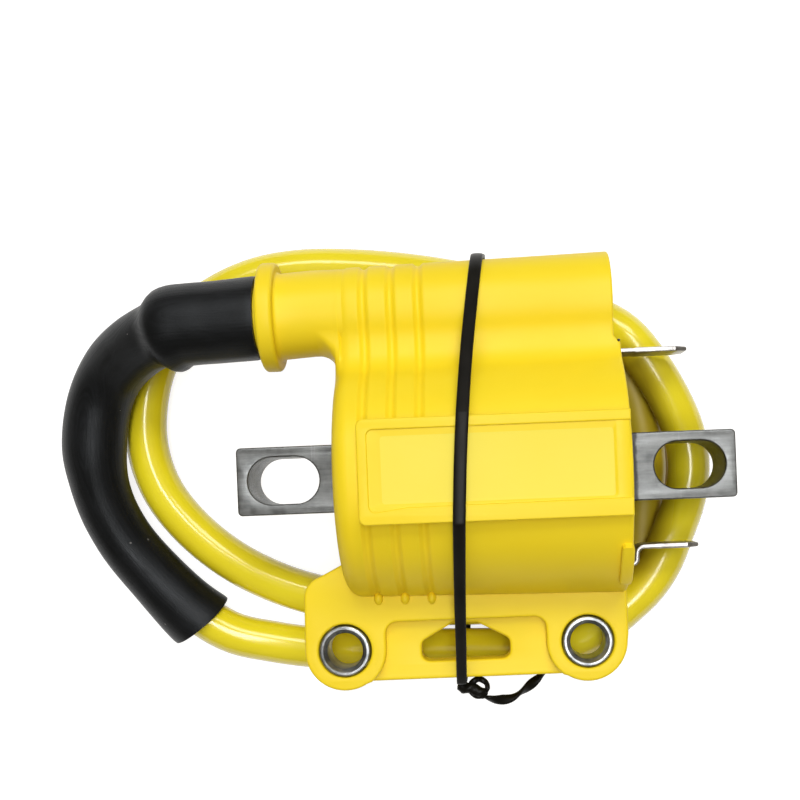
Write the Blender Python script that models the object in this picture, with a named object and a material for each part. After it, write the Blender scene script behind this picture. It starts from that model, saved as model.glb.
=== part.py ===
"""Potted ignition coil with its high-tension lead wound round it and tied.

The sizes below are in millimetres and the meshes are made in metres, +Z up. The coil lies on
the seat pads at its back, so z = 0 is the surface it stands on. X runs along the laminated
core and Y from the mounting flange to the high-tension tower. The sizes count from the core's
middle; one empty then moves everything, so that the origin is under the middle of the coil's
box without its lead. The lead leaves the tower at -X, goes once and two thirds round the case
and ends bare under its right end. The coil is potted, so nothing in it moves.
"""
import math

import bmesh
import bpy
from mathutils import Vector

MM = 0.001

# ---------------------------------------------------------------- clearances
SEAT_GAP = 0.3          # between a piece and what it is seated in or on
PRESS_GAP = 0.15        # round a bushing moulded into its ear
SHEET_GAP = 0.16        # between two sheets of the core

# ---------------------------------------------------------------- core
CORE_Z = 18.0           # height of the core's axis
CORE_LENGTH = 77.0
CORE_WIDTH = 10.5
SHEET_COUNT = 6
SHEET_THICK = 1.7
CORE_CORNER_R = 0.7
SLOT_LENGTH = 11.0
SLOT_WIDTH = 7.3
SLOT_END_LAND = 1.7     # metal between a slot and the end of its lug
LUG_EDGE_GAP = 0.25     # from the case to the line where a lug's own faces start

# ---------------------------------------------------------------- case
CASE_LEFT = -22.4
CASE_RIGHT = 20.9
CASE_R_LEFT = 18.7      # the cylinder widens towards its open right end
CASE_R_RIGHT = 19.6
CASE_EDGE_R = 2.5       # rounding of the closed left end
CASE_WALL = 2.0         # thickness of the closed left end
BACK_Z = 1.3            # height of the flat back
PAD_HALF_Y = 7.4
PAD_RUNS = ((-22.0, -12.0), (12.0, 20.0))

BARREL_Y = 25.8         # axis of the tower's barrel
BARREL_Z = 21.0
BARREL_R_LEFT = 6.8
BARREL_R_RIGHT = 7.8
BARREL_CAVITY_R = 5.4
BARREL_STEP = 1.0       # how far the barrel's end stands back from the main rim
BARREL_TRIM_Y = 19.2
VALLEY_R = 5.5          # concave fillets between barrel and cylinder
CHANNEL_Z = (14.4, 21.4)

GROOVE_LEFT = -18.3
GROOVE_PITCH = 4.17
GROOVE_WIDTH = 1.15
GROOVE_DEPTH = 0.45
GROOVE_SLOPE = 0.15
GROOVE_COUNT = 3
NUB_R = 0.55            # small round ribs where the grooves meet the flange
NUB_LENGTH = 1.7

# ---------------------------------------------------------------- tower
NECK_R = 6.65
COLLAR_R = 8.4
COLLAR_X = (-33.8, -31.2)
COLLAR_EDGE_R = 0.6
SPIGOT_R = 5.35
SPIGOT_END = -46.5
CONTACT_X = -34.2       # face that the lead's end meets
CONTACT_R = 3.0
CONTACT_THICK = 1.3
CONTACT_BOSS_R = 1.2
CONTACT_BOSS = 1.4
WIRE_BORE_R = 1.6

# ---------------------------------------------------------------- label frame
LABEL_X = (-18.4, 20.7)
LABEL_Y = (-7.1, 8.05)
LABEL_Z = 37.8
LABEL_CORNER_R = 1.0
RECESS_X = (-16.9, 19.4)
RECESS_Y = (-5.3, 6.5)
RECESS_SLOPE = (2.1, 1.1)   # width of the sloped border at its ends and sides
RECESS_DEPTH = 0.7
TAB_X = (19.3, 21.4)
TAB_ANGLES = (124.0, 149.0)
TAB_PROUD = 0.8

# ---------------------------------------------------------------- flange
FLANGE_FRONT = 20.3
FLANGE_REAR = 14.3
FLANGE_RIGHT = 21.2
EAR_R = 6.25
EAR_LEFT = (-23.3, -27.0)
EAR_RIGHT = (14.8, -27.0)
WEB_BOTTOM = -32.2
POCKET_DEPTH = 2.0
POCKET_TOP = -22.8
POCKET_R = 1.9
POCKET_LAND = 0.2       # step outside an ear's round
WINDOW = ((-11.4, -29.4), (2.6, -29.4), (2.6, -26.3), (-2.6, -23.5), (-6.4, -23.5), (-11.4, -26.3))
WINDOW_R = 1.3

BUSHING_R = 4.0
BUSHING_BORE_R = 2.75
BUSHING_CHAMFER = 0.3
BUSHING_PROUD = 0.2

# ---------------------------------------------------------------- terminals
BLADE_THICK = 0.8
BLADE_Z = (14.8, 21.0)
BLADE_ROOT_Z = (16.0, 20.0)
BLADE_ROOT_END = 20.2
BLADE_ROOT_START = 13.9
SIGNAL_Y = 18.2
SIGNAL_TIP = 32.05
GROUND_Y = -12.5
GROUND_ROOT_Y = -14.0
GROUND_TIP = 32.25
TIP_TAPER = (2.2, 1.5)  # length and height of a blade's bevelled tip
GROUND_CRANK = ((21.2, -14.1), (22.1, -14.55), (22.8, -14.6), (23.25, -14.2), (23.4, -13.5),
                (23.75, -12.85))
GROUND_CRANK_END = 24.5

# ---------------------------------------------------------------- windings
RESIN_X = (15.0, 19.0)
BOBBIN_X = (-19.0, 13.0)
BOBBIN_BODY_R = 8.9
BOBBIN_FLANGE = 1.0
PRIMARY_THICK = 1.2
WRAP_GAP = 0.25
WRAP_THICK = 0.4
TUBE_THICK = 1.0
SECONDARY_THICK = 1.7
RIB_PROUD = 0.6         # of the ribs over the secondary winding
RIB_THICK = 0.9
CAVITY_GAP = 0.4        # round the ribs
SECTION_COUNT = 6
WIRE_R = 0.3
# Each layer of the windings lies on the one before, as (inner, outer) radii, out to the cavity.
PRIMARY_R = (BOBBIN_BODY_R + SEAT_GAP, BOBBIN_BODY_R + SEAT_GAP + PRIMARY_THICK)
INSULATION_R = (PRIMARY_R[1] + WRAP_GAP, PRIMARY_R[1] + WRAP_GAP + WRAP_THICK)
BOBBIN_FLANGE_R = INSULATION_R[1] + WRAP_GAP
SECONDARY_TUBE_R = (BOBBIN_FLANGE_R + SEAT_GAP, BOBBIN_FLANGE_R + SEAT_GAP + TUBE_THICK)
SECONDARY_R = (SECONDARY_TUBE_R[1] + SEAT_GAP, SECONDARY_TUBE_R[1] + SEAT_GAP + SECONDARY_THICK)
RIB_R = SECONDARY_R[1] + RIB_PROUD
CAVITY_R = RIB_R + CAVITY_GAP
LINK_DROP = 3.4         # from the bobbin's end back to the link wire
LINK_START_Z = 19.4
LINK_RISE = ((0.0, 19.0, 20.0), (-1.4, 23.6, 20.8))     # link wire's climb: x from its start, y, z
LINK_TURN_X = -5.0
LINK_MID_X = -8.0
BLADE_WIRE_X = (0.1, 0.8)       # how far the blades' wires lean to +X on their way
BLADE_WIRE_Y = (12.0, -11.0)    # where they turn, towards the signal and the ground blade

# ---------------------------------------------------------------- lead and sleeve
LEAD_R = 3.5
LEAD_START = CONTACT_X - SEAT_GAP
LEAD_STEP = 7.0         # between two points of the free lead
LEAD_STEP_SLEEVE = 4.0  # closer under the sleeve, which follows the same points
SLEEVE_START = COLLAR_X[0] - SEAT_GAP
SLEEVE_LENGTH = 79.0    # along the lead
SLEEVE_R_SPIGOT = 6.5
SLEEVE_R = 5.15
SLEEVE_BORE_SPIGOT = SPIGOT_R + SEAT_GAP
SLEEVE_BORE = LEAD_R + 0.45
CONDUCTOR_R = 0.9
CONDUCTOR_STUB = 0.8
LEAST_LEAD_GAP = 0.4

# The lead's route, chosen by hand: out of the tower, down on to the table on the left, under
# the flange, up the right side over the end of the inner turn, behind the tower's barrel and
# round again on the inside.
LEAD_ROUTE = (
    (LEAD_START, BARREL_Y, BARREL_Z), (-41.0, 25.8, 21.0), (-46.8, 25.8, 20.95),
    (-51.5, 24.8, 19.3), (-56.2, 22.7, 16.0), (-60.3, 19.7, 12.9), (-63.1, 15.5, 11.0),
    (-64.6, 10.2, 10.1), (-64.9, 4.2, 9.5), (-63.8, -2.0, 8.4), (-61.0, -8.0, 7.2),
    (-56.3, -14.4, 6.0), (-50.6, -20.6, 5.3), (-44.4, -25.0, 4.6), (-37.5, -27.0, 3.9),
    (-30.0, -28.3, 3.7), (-20.0, -29.0, 4.1), (-5.0, -29.4, 4.8), (4.0, -29.6, 5.7),
    (9.6, -29.3, 7.4), (14.2, -27.8, 9.1), (18.0, -25.5, 10.2), (21.6, -22.7, 10.45),
    (25.2, -19.5, 10.6), (28.1, -15.6, 10.4), (30.5, -10.6, 9.4), (32.8, -5.4, 8.0),
    (33.8, 0.2, 7.6), (33.0, 5.9, 8.0), (30.7, 11.3, 9.3), (27.6, 16.6, 10.3),
    (23.8, 21.7, 10.3), (19.4, 24.9, 9.0), (13.4, 27.2, 7.4), (5.5, 30.2, 5.5),
    (-3.9, 32.8, 4.8), (-13.0, 34.6, 4.4), (-22.5, 35.8, 3.7), (-31.0, 36.0, 3.55),
    (-38.5, 34.8, 3.55), (-45.4, 31.8, 3.55), (-51.3, 27.2, 3.55), (-55.4, 21.2, 3.55),
    (-57.4, 14.2, 3.55), (-57.6, 7.0, 3.55), (-55.6, 0.0, 3.55), (-51.4, -6.2, 3.55),
    (-45.4, -11.8, 3.55), (-38.6, -16.0, 3.55), (-30.5, -19.2, 3.6), (-21.0, -21.0, 3.9),
    (-12.0, -21.7, 4.5), (-3.0, -21.9, 4.8), (5.0, -21.9, 4.4), (10.6, -21.5, 3.8),
    (15.8, -20.9, 3.55), (20.0, -19.7, 3.55), (23.3, -17.7, 3.55), (25.3, -14.3, 3.55),
    (25.8, -10.2, 3.55), (26.4, -5.2, 3.55), (27.0, 0.2, 3.55), (26.7, 5.4, 3.55),
    (26.0, 10.4, 3.55), (24.8, 14.6, 3.55), (23.3, 17.3, 3.55), (21.9, 19.0, 3.55),
)

# ---------------------------------------------------------------- twist tie
TIE_WIDTH = 2.0
TIE_THICK = 0.8
TIE_GAP = 0.3
TIE_FRONT = ((-34.0, -5.3), (-18.0, -4.7), (-4.0, -4.0), (5.0, -3.4), (18.0, -2.2), (36.5, 0.2))
TIE_LEAD_TOP = (32.6, 4.9)      # the lead's strands under the tie, as (y, z)
TIE_LEAD_LOW = (-29.4, 4.8)
TIE_KNOT = ((-6.0, -33.9, 16.6), (-3.6, -34.3, 16.9), (-1.4, -35.4, 16.8))
TIE_KNOT_R = 1.0
TIE_EYE = (-1.5, -34.6, 16.9)
TIE_EYE_R = 1.35
TIE_TAIL_R = 0.6
TIE_TAIL = ((-1.8, -35.6, 16.8), (0.2, -36.2, 16.5), (2.4, -36.2, 15.6), (4.6, -35.2, 14.2),
            (6.6, -33.9, 13.0), (8.6, -32.2, 12.2))


# ================================================================ helpers
def clear_scene():
    """Remove whatever the file starts with."""
    for existing in list(bpy.data.objects):
        bpy.data.objects.remove(existing, do_unlink=True)


def make_material(name, colour, roughness, metallic=0.0):
    """A Principled BSDF with one colour."""
    material = bpy.data.materials.new(name)
    material.use_nodes = True
    shader = material.node_tree.nodes["Principled BSDF"]
    shader.inputs["Base Color"].default_value = (*colour, 1.0)
    shader.inputs["Roughness"].default_value = roughness
    shader.inputs["Metallic"].default_value = metallic
    return material


def finish(name, bm, material):
    """Turn a bmesh in millimetres into an object in metres."""
    bmesh.ops.scale(bm, vec=(MM, MM, MM), verts=bm.verts)
    bmesh.ops.recalc_face_normals(bm, faces=bm.faces)
    mesh = bpy.data.meshes.new(name)
    bm.to_mesh(mesh)
    bm.free()
    mesh.shade_smooth()
    mesh.set_sharp_from_angle(angle=math.radians(35.0))
    solid = bpy.data.objects.new(name, mesh)
    bpy.context.collection.objects.link(solid)
    if material is not None:
        mesh.materials.append(material)
    return solid


def helper(name, bm):
    """An object that only cuts or joins: shown as wire, left out of the build."""
    solid = finish(name, bm, None)
    solid.hide_render = True
    solid.display_type = "WIRE"
    return solid


def combine(target, tool, operation):
    """Add a Boolean of tool to target."""
    boolean = target.modifiers.new(tool.name, "BOOLEAN")
    boolean.operation = operation
    boolean.solver = "EXACT"
    boolean.object = tool


def cut(target, bm, name):
    """Cut the shape bm out of target."""
    combine(target, helper(name, bm), "DIFFERENCE")


def join(target, bm, name):
    """Join the shape bm to target."""
    combine(target, helper(name, bm), "UNION")


def arc(centre, radius, start, end, count):
    """Points of an arc, angles in degrees, both ends included."""
    return [(centre[0] + radius * math.cos(math.radians(start + (end - start) * i / count)),
             centre[1] + radius * math.sin(math.radians(start + (end - start) * i / count)))
            for i in range(count + 1)]


def rounded(corners, radius, count=4):
    """A closed outline with every corner rounded to the same radius."""
    outline = []
    for index, corner in enumerate(corners):
        here = Vector(corner)
        before = (Vector(corners[index - 1]) - here).normalized()
        after = (Vector(corners[(index + 1) % len(corners)]) - here).normalized()
        half = before.angle(after) / 2.0
        middle = here + (before + after).normalized() * (radius / math.sin(half))
        first = here + before * (radius / math.tan(half)) - middle
        last = here + after * (radius / math.tan(half)) - middle
        sweep = first.angle_signed(last)
        for step in range(count + 1):
            turn = -sweep * step / count
            cosine = math.cos(turn)
            sine = math.sin(turn)
            outline.append((middle.x + first.x * cosine - first.y * sine,
                            middle.y + first.x * sine + first.y * cosine))
    return outline


def loft(rings, closed=False):
    """Skin equal rings of 3-D points; ends are capped unless the rings form a closed loop."""
    bm = bmesh.new()
    verts = [[bm.verts.new(point) for point in ring] for ring in rings]
    count = len(rings[0])
    last = len(rings) if closed else len(rings) - 1
    for index in range(last):
        here = verts[index]
        ahead = verts[(index + 1) % len(rings)]
        for side in range(count):
            other = (side + 1) % count
            bm.faces.new((here[side], here[other], ahead[other], ahead[side]))
    if not closed:
        bm.faces.new(list(reversed(verts[0])))
        bm.faces.new(verts[-1])
    return bm


def prism_z(outline, low, high):
    """Extrude an XY outline from low to high."""
    return loft([[(x, y, z) for x, y in outline] for z in (low, high)])


def prism_x(outline, low, high):
    """Extrude a YZ outline from low to high."""
    return loft([[(x, y, z) for y, z in outline] for x in (low, high)])


def block(x_run, y_run, z_run):
    """A plain box given by its runs along the three axes."""
    return prism_z([(x_run[0], y_run[0]), (x_run[1], y_run[0]),
                    (x_run[1], y_run[1]), (x_run[0], y_run[1])], z_run[0], z_run[1])


def turned_x(profile, y, z, sides=32):
    """Turn (x, radius) points about a line along X at (y, z), with flat ends."""
    rings = []
    for x, radius in profile:
        ring = [(x, y + radius * math.cos(2.0 * math.pi * i / sides),
                 z + radius * math.sin(2.0 * math.pi * i / sides)) for i in range(sides)]
        rings.append(ring)
    return loft(rings)


def tube_x(outer, inner, y, z, sides=32):
    """A turned tube about a line along X: outer profile out, inner profile back."""
    rings = []
    for x, radius in list(outer) + list(reversed(inner)):
        ring = [(x, y + radius * math.cos(2.0 * math.pi * i / sides),
                 z + radius * math.sin(2.0 * math.pi * i / sides)) for i in range(sides)]
        rings.append(ring)
    return loft(rings, closed=True)


def tube_z(outer, inner, x, y, sides=32):
    """A turned tube about a vertical line, from (z, radius) profiles."""
    rings = []
    for z, radius in list(outer) + list(reversed(inner)):
        ring = [(x + radius * math.cos(2.0 * math.pi * i / sides),
                 y + radius * math.sin(2.0 * math.pi * i / sides), z) for i in range(sides)]
        rings.append(ring)
    return loft(rings, closed=True)


def smooth_curve(route, per_span=12):
    """A Catmull-Rom curve through the route's points, finely sampled."""
    points = [Vector(point) for point in route]
    fine = []
    for index in range(len(points) - 1):
        before = points[max(index - 1, 0)]
        start = points[index]
        end = points[index + 1]
        after = points[min(index + 2, len(points) - 1)]
        for step in range(per_span):
            t = step / per_span
            fine.append(0.5 * (2.0 * start + (end - before) * t
                               + (2.0 * before - 5.0 * start + 4.0 * end - after) * t ** 2
                               + (3.0 * start - before - 3.0 * end + after) * t ** 3))
    fine.append(points[-1])
    return fine


def lengths_along(fine):
    """Distance along the curve at each of its fine points."""
    total = [0.0]
    for index in range(1, len(fine)):
        total.append(total[-1] + (fine[index] - fine[index - 1]).length)
    return total


def at_length(fine, total, wanted):
    """The point at a distance along the curve."""
    for index in range(1, len(fine)):
        if total[index] >= wanted:
            span = total[index] - total[index - 1]
            share = (wanted - total[index - 1]) / span
            return fine[index - 1].lerp(fine[index], share)
    return fine[-1].copy()


def add_tube_curve(name, points, radius, material, resolution):
    """A POLY curve with a round bevel and filled caps, points in millimetres."""
    curve = bpy.data.curves.new(name, "CURVE")
    curve.dimensions = "3D"
    curve.bevel_depth = radius * MM
    curve.bevel_resolution = resolution
    curve.use_fill_caps = True
    spline = curve.splines.new("POLY")
    spline.points.add(len(points) - 1)
    for spot, point in zip(spline.points, points):
        spot.co = (point[0] * MM, point[1] * MM, point[2] * MM, 1.0)
        spot.radius = 1.0
    tube = bpy.data.objects.new(name, curve)
    bpy.context.collection.objects.link(tube)
    curve.materials.append(material)
    return tube


def sweep_rings(points, radii, sides):
    """Round rings square to a path, with as little twist as possible."""
    rings = []
    side = None
    for index, point in enumerate(points):
        before = points[max(index - 1, 0)]
        after = points[min(index + 1, len(points) - 1)]
        tangent = (after - before).normalized()
        if side is None:
            side = tangent.cross(Vector((0.0, 0.0, 1.0))).normalized()
        side = (side - tangent * side.dot(tangent)).normalized()
        up = side.cross(tangent)
        ring = []
        for step in range(sides):
            angle = 2.0 * math.pi * step / sides
            ring.append(point + (side * math.cos(angle) + up * math.sin(angle)) * radii[index])
        rings.append(ring)
    return rings


def interpolate(pairs, value):
    """Straight-line interpolation in a rising list of (key, result) pairs."""
    if value <= pairs[0][0]:
        return pairs[0][1]
    for (low, first), (high, second) in zip(pairs, pairs[1:]):
        if value <= high:
            return first + (second - first) * (value - low) / (high - low)
    return pairs[-1][1]


# ================================================================ case
def case_radius(x):
    """The cylinder's radius at x."""
    share = (x - CASE_LEFT) / (CASE_RIGHT - CASE_LEFT)
    return CASE_R_LEFT + (CASE_R_RIGHT - CASE_R_LEFT) * share


def barrel_radius(x):
    """The barrel's radius at x."""
    share = (x - CASE_LEFT) / (CASE_RIGHT - CASE_LEFT)
    return BARREL_R_LEFT + (BARREL_R_RIGHT - BARREL_R_LEFT) * share


def case_outline(x, inset):
    """Cylinder, flat back, two valley fillets and barrel in one YZ outline, drawn in by inset."""
    main_r = case_radius(x)
    barrel_r = barrel_radius(x)
    rise = BARREL_Z - CORE_Z
    span = math.hypot(BARREL_Y, rise)
    tilt = math.degrees(math.atan2(rise, BARREL_Y))
    main_reach = main_r + VALLEY_R
    barrel_reach = barrel_r + VALLEY_R
    along = (main_reach ** 2 - barrel_reach ** 2 + span ** 2) / (2.0 * span)
    across = math.sqrt(main_reach ** 2 - along ** 2)
    main_turn = math.degrees(math.atan2(across, along))
    barrel_turn = math.degrees(math.atan2(across, along - span))
    back = math.degrees(math.acos((CORE_Z - BACK_Z - inset) / (main_r - inset)))
    axis = Vector((math.cos(math.radians(tilt)), math.sin(math.radians(tilt))))
    normal = Vector((-axis.y, axis.x))
    main = (0.0, CORE_Z)
    barrel = (BARREL_Y, BARREL_Z)
    front = Vector(main) + axis * along + normal * across
    rear = Vector(main) + axis * along - normal * across
    outline = arc(main, main_r - inset, tilt + main_turn, 270.0 - back, 28)
    outline += arc(main, main_r - inset, 270.0 + back, 360.0 + tilt - main_turn, 5)
    outline += arc(rear, VALLEY_R + inset, tilt + 180.0 - main_turn,
                   tilt + 180.0 - barrel_turn, 6)[1:]
    outline += arc(barrel, barrel_r - inset, tilt - barrel_turn, tilt + barrel_turn, 18)[1:]
    outline += arc(front, VALLEY_R + inset, tilt + 180.0 + barrel_turn,
                   tilt + 180.0 + main_turn, 6)[1:-1]
    return outline


def case_stations():
    """(x, inset) pairs from the rounded left end over the grooves to the open right end."""
    stations = []
    for step in range(5):
        turn = math.radians(90.0 * step / 4)
        stations.append((CASE_LEFT + CASE_EDGE_R * (1.0 - math.cos(turn)),
                         CASE_EDGE_R * (1.0 - math.sin(turn))))
    for index in range(GROOVE_COUNT):
        left = GROOVE_LEFT + GROOVE_PITCH * index
        right = left + GROOVE_WIDTH
        stations += [(left, 0.0), (left + GROOVE_SLOPE, GROOVE_DEPTH),
                     (right - GROOVE_SLOPE, GROOVE_DEPTH), (right, 0.0)]
    stations.append((CASE_RIGHT, 0.0))
    return stations


def flange_outline():
    """The mounting flange seen from the front."""
    drop = math.degrees(math.asin((EAR_LEFT[1] - WEB_BOTTOM) / EAR_R))
    outline = [(-20.8, -8.0), (-22.2, -12.9), (-26.4, -15.0), (-27.8, -15.9),
               (-28.9, -17.2), (-29.4, -18.7)]
    outline += arc(EAR_LEFT, EAR_R, 180.0, 360.0 - drop, 16)
    outline += arc(EAR_RIGHT, EAR_R, 180.0 + drop, 358.0, 16)
    outline += [(FLANGE_RIGHT, -26.0), (FLANGE_RIGHT, -8.0)]
    return outline


def pocket_outline():
    """The sunk web between the ears: round top corners, lower ends round the ears."""
    reach = EAR_R + POCKET_LAND
    left = EAR_LEFT[0] + reach
    right = EAR_RIGHT[0] - reach
    top = POCKET_TOP - POCKET_R
    outline = arc((left + POCKET_R, top), POCKET_R, 180.0, 90.0, 4)
    outline += arc((right - POCKET_R, top), POCKET_R, 90.0, 0.0, 4)
    outline += arc(EAR_RIGHT, reach, 180.0, 240.0, 7)
    outline += [(EAR_RIGHT[0] - 3.0, WEB_BOTTOM - 3.0), (EAR_LEFT[0] + 3.0, WEB_BOTTOM - 3.0)]
    outline += arc(EAR_LEFT, reach, 300.0, 360.0, 7)
    return outline


def join_flange(case):
    """Flange plate with ears; its pocket, window and bushing bores are cut later."""
    join(case, prism_z(flange_outline(), FLANGE_REAR, FLANGE_FRONT), "flange_plate")
    junction = -math.sqrt(case_radius(GROOVE_LEFT) ** 2 - (FLANGE_FRONT - CORE_Z) ** 2)
    for index in range(GROOVE_COUNT):
        x = GROOVE_LEFT + GROOVE_PITCH * index + GROOVE_WIDTH / 2.0
        path = [Vector((x, junction + 0.8, FLANGE_FRONT)),
                Vector((x, junction - NUB_LENGTH + NUB_R, FLANGE_FRONT)),
                Vector((x, junction - NUB_LENGTH, FLANGE_FRONT))]
        rings = sweep_rings(path, [NUB_R, NUB_R, NUB_R * 0.45], 10)
        join(case, loft(rings), f"groove_nub_{index + 1}")


def join_label_frame(case):
    """Raised frame along the front, its face just above the cylinder's crown."""
    corners = [(LABEL_X[0], LABEL_Y[0]), (LABEL_X[1], LABEL_Y[0]),
               (LABEL_X[1], LABEL_Y[1]), (LABEL_X[0], LABEL_Y[1])]
    join(case, prism_z(rounded(corners, LABEL_CORNER_R), LABEL_Z - 5.0, LABEL_Z), "label_frame")


def join_tower(case):
    """Neck, collar and the spigot that carries the sleeve."""
    edge = COLLAR_EDGE_R
    profile = [(SPIGOT_END, SPIGOT_R - 0.4), (SPIGOT_END + 0.4, SPIGOT_R),
               (COLLAR_X[0], SPIGOT_R), (COLLAR_X[0], COLLAR_R - edge),
               (COLLAR_X[0] + 0.3 * edge, COLLAR_R - 0.3 * edge), (COLLAR_X[0] + edge, COLLAR_R),
               (COLLAR_X[1] - edge, COLLAR_R), (COLLAR_X[1] - 0.3 * edge, COLLAR_R - 0.3 * edge),
               (COLLAR_X[1], COLLAR_R - edge), (COLLAR_X[1], NECK_R),
               (CASE_LEFT + 1.0, NECK_R)]
    join(case, turned_x(profile, BARREL_Y, BARREL_Z), "tower_outside")


def join_tab(case):
    """Short raised band on the rim at the lower right."""
    outer = CASE_R_RIGHT + TAB_PROUD
    inner = CASE_R_RIGHT - 1.2
    outline = arc((0.0, CORE_Z), outer, TAB_ANGLES[0], TAB_ANGLES[1], 6)
    outline += list(reversed(arc((0.0, CORE_Z), inner, TAB_ANGLES[0], TAB_ANGLES[1] + 2.0, 6)))
    join(case, prism_x(outline, TAB_X[0], TAB_X[1]), "rim_tab")


def join_pads(case):
    """Two seat pads on the back; the tie passes between them."""
    for index, run in enumerate(PAD_RUNS):
        pad = block(run, (-PAD_HALF_Y, PAD_HALF_Y), (0.0, BACK_Z + 0.5))
        join(case, pad, f"seat_pad_{index + 1}")


def cut_inside(case):
    """Main cavity, barrel cavity and the channel between them, all open at the right end."""
    floor = CASE_LEFT + CASE_WALL
    past = CASE_RIGHT + 2.0
    cut(case, turned_x([(floor, CAVITY_R), (past, CAVITY_R)], 0.0, CORE_Z, 48), "main_cavity")
    cut(case, block((floor, past), (CAVITY_R - 3.0, BARREL_Y - 2.0), CHANNEL_Z), "channel")
    cut(case, turned_x([(floor, BARREL_CAVITY_R), (past, BARREL_CAVITY_R)],
                       BARREL_Y, BARREL_Z, 24), "barrel_cavity")
    half_y = CORE_WIDTH / 2.0 + SEAT_GAP
    half_z = core_height() / 2.0 + SEAT_GAP
    cut(case, block((CASE_LEFT - 2.0, floor + 1.0), (-half_y, half_y),
                    (CORE_Z - half_z, CORE_Z + half_z)), "core_opening")
    profile = [(SPIGOT_END - 2.0, LEAD_R + 0.4), (CONTACT_X + 0.2, LEAD_R + 0.4),
               (CONTACT_X + 0.2, CONTACT_R + SEAT_GAP),
               (CONTACT_X + CONTACT_THICK + SEAT_GAP, CONTACT_R + SEAT_GAP),
               (CONTACT_X + CONTACT_THICK + SEAT_GAP, WIRE_BORE_R), (floor + 1.0, WIRE_BORE_R)]
    cut(case, turned_x(profile, BARREL_Y, BARREL_Z, 24), "tower_bore")


def cut_flange(case):
    """Pocket, window and the two bushing bores."""
    web = FLANGE_FRONT - POCKET_DEPTH
    cut(case, prism_z(pocket_outline(), web, FLANGE_FRONT + 1.0), "web_pocket")
    cut(case, prism_z(rounded(WINDOW, WINDOW_R), FLANGE_REAR - 1.0, FLANGE_FRONT), "window")
    for side, centre in (("left", EAR_LEFT), ("right", EAR_RIGHT)):
        outline = arc(centre, BUSHING_R + PRESS_GAP, 0.0, 360.0, 32)[:-1]
        cut(case, prism_z(outline, FLANGE_REAR - 1.0, FLANGE_FRONT + 1.0), f"ear_bore_{side}")


def cut_label(case):
    """Bare recess with sloped borders, open to nothing but the front."""
    past = 1.0
    rings = []
    for z, share in ((LABEL_Z - RECESS_DEPTH, 1.0), (LABEL_Z, 0.0), (LABEL_Z + past, 0.0)):
        left = RECESS_X[0] + RECESS_SLOPE[0] * share
        right = RECESS_X[1] - RECESS_SLOPE[1] * share
        low = RECESS_Y[0] + RECESS_SLOPE[1] * share
        high = RECESS_Y[1] - RECESS_SLOPE[1] * share
        rings.append([(left, low, z), (right, low, z), (right, high, z), (left, high, z)])
    cut(case, loft(rings), "label_recess")


def build_case(material):
    """The moulded housing, one body."""
    rings = [[(x, y, z) for y, z in case_outline(x, inset)] for x, inset in case_stations()]
    case = finish("case", loft(rings), material)
    trim = block((CASE_RIGHT - BARREL_STEP, CASE_RIGHT + 1.0),
                 (BARREL_TRIM_Y, BARREL_Y + 10.0), (CORE_Z - 12.0, CORE_Z + 14.0))
    cut(case, trim, "barrel_trim")
    join_tower(case)
    join_flange(case)
    join_label_frame(case)
    join_tab(case)
    join_pads(case)
    cut_inside(case)
    cut_flange(case)
    cut_label(case)
    return case


# ================================================================ core
def core_height():
    """Height of the stacked sheets."""
    return SHEET_COUNT * SHEET_THICK + (SHEET_COUNT - 1) * SHEET_GAP


def build_core(material):
    """The stack of slotted sheets, one node each."""
    half_x = CORE_LENGTH / 2.0
    half_y = CORE_WIDTH / 2.0
    corners = [(-half_x, -half_y), (half_x, -half_y), (half_x, half_y), (-half_x, half_y)]
    slot_x = half_x - SLOT_END_LAND - SLOT_LENGTH / 2.0
    run = (SLOT_LENGTH - SLOT_WIDTH) / 2.0
    for index in range(SHEET_COUNT):
        low = CORE_Z - core_height() / 2.0 + index * (SHEET_THICK + SHEET_GAP)
        high = low + SHEET_THICK
        bm = prism_z(rounded(corners, CORE_CORNER_R, 3), low, high)
        for x in (CASE_LEFT - LUG_EDGE_GAP, FLANGE_RIGHT + LUG_EDGE_GAP):
            bmesh.ops.bisect_plane(bm, geom=[*bm.verts, *bm.edges, *bm.faces],
                                   plane_co=(x, 0.0, 0.0), plane_no=(1.0, 0.0, 0.0))
        sheet = finish(f"core_sheet_{index + 1}", bm, material)
        for side in (-1.0, 1.0):
            outline = arc((side * slot_x + run, 0.0), SLOT_WIDTH / 2.0, -90.0, 90.0, 10)
            outline += arc((side * slot_x - run, 0.0), SLOT_WIDTH / 2.0, 90.0, 270.0, 10)
            name = f"slot_{index + 1}_{'right' if side > 0 else 'left'}"
            cut(sheet, prism_z(outline, low - 1.0, high + 1.0), name)


# ================================================================ fittings
def build_bushings(material):
    """Steel sleeves in the flange's ears."""
    low = FLANGE_REAR - BUSHING_PROUD
    high = FLANGE_FRONT + BUSHING_PROUD
    for side, centre in (("left", EAR_LEFT), ("right", EAR_RIGHT)):
        outer = [(low, BUSHING_R), (high, BUSHING_R)]
        inner = [(low, BUSHING_BORE_R + BUSHING_CHAMFER), (low + BUSHING_CHAMFER, BUSHING_BORE_R),
                 (high - BUSHING_CHAMFER, BUSHING_BORE_R), (high, BUSHING_BORE_R + BUSHING_CHAMFER)]
        finish(f"bushing_{side}", tube_z(outer, inner, centre[0], centre[1]), material)


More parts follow.
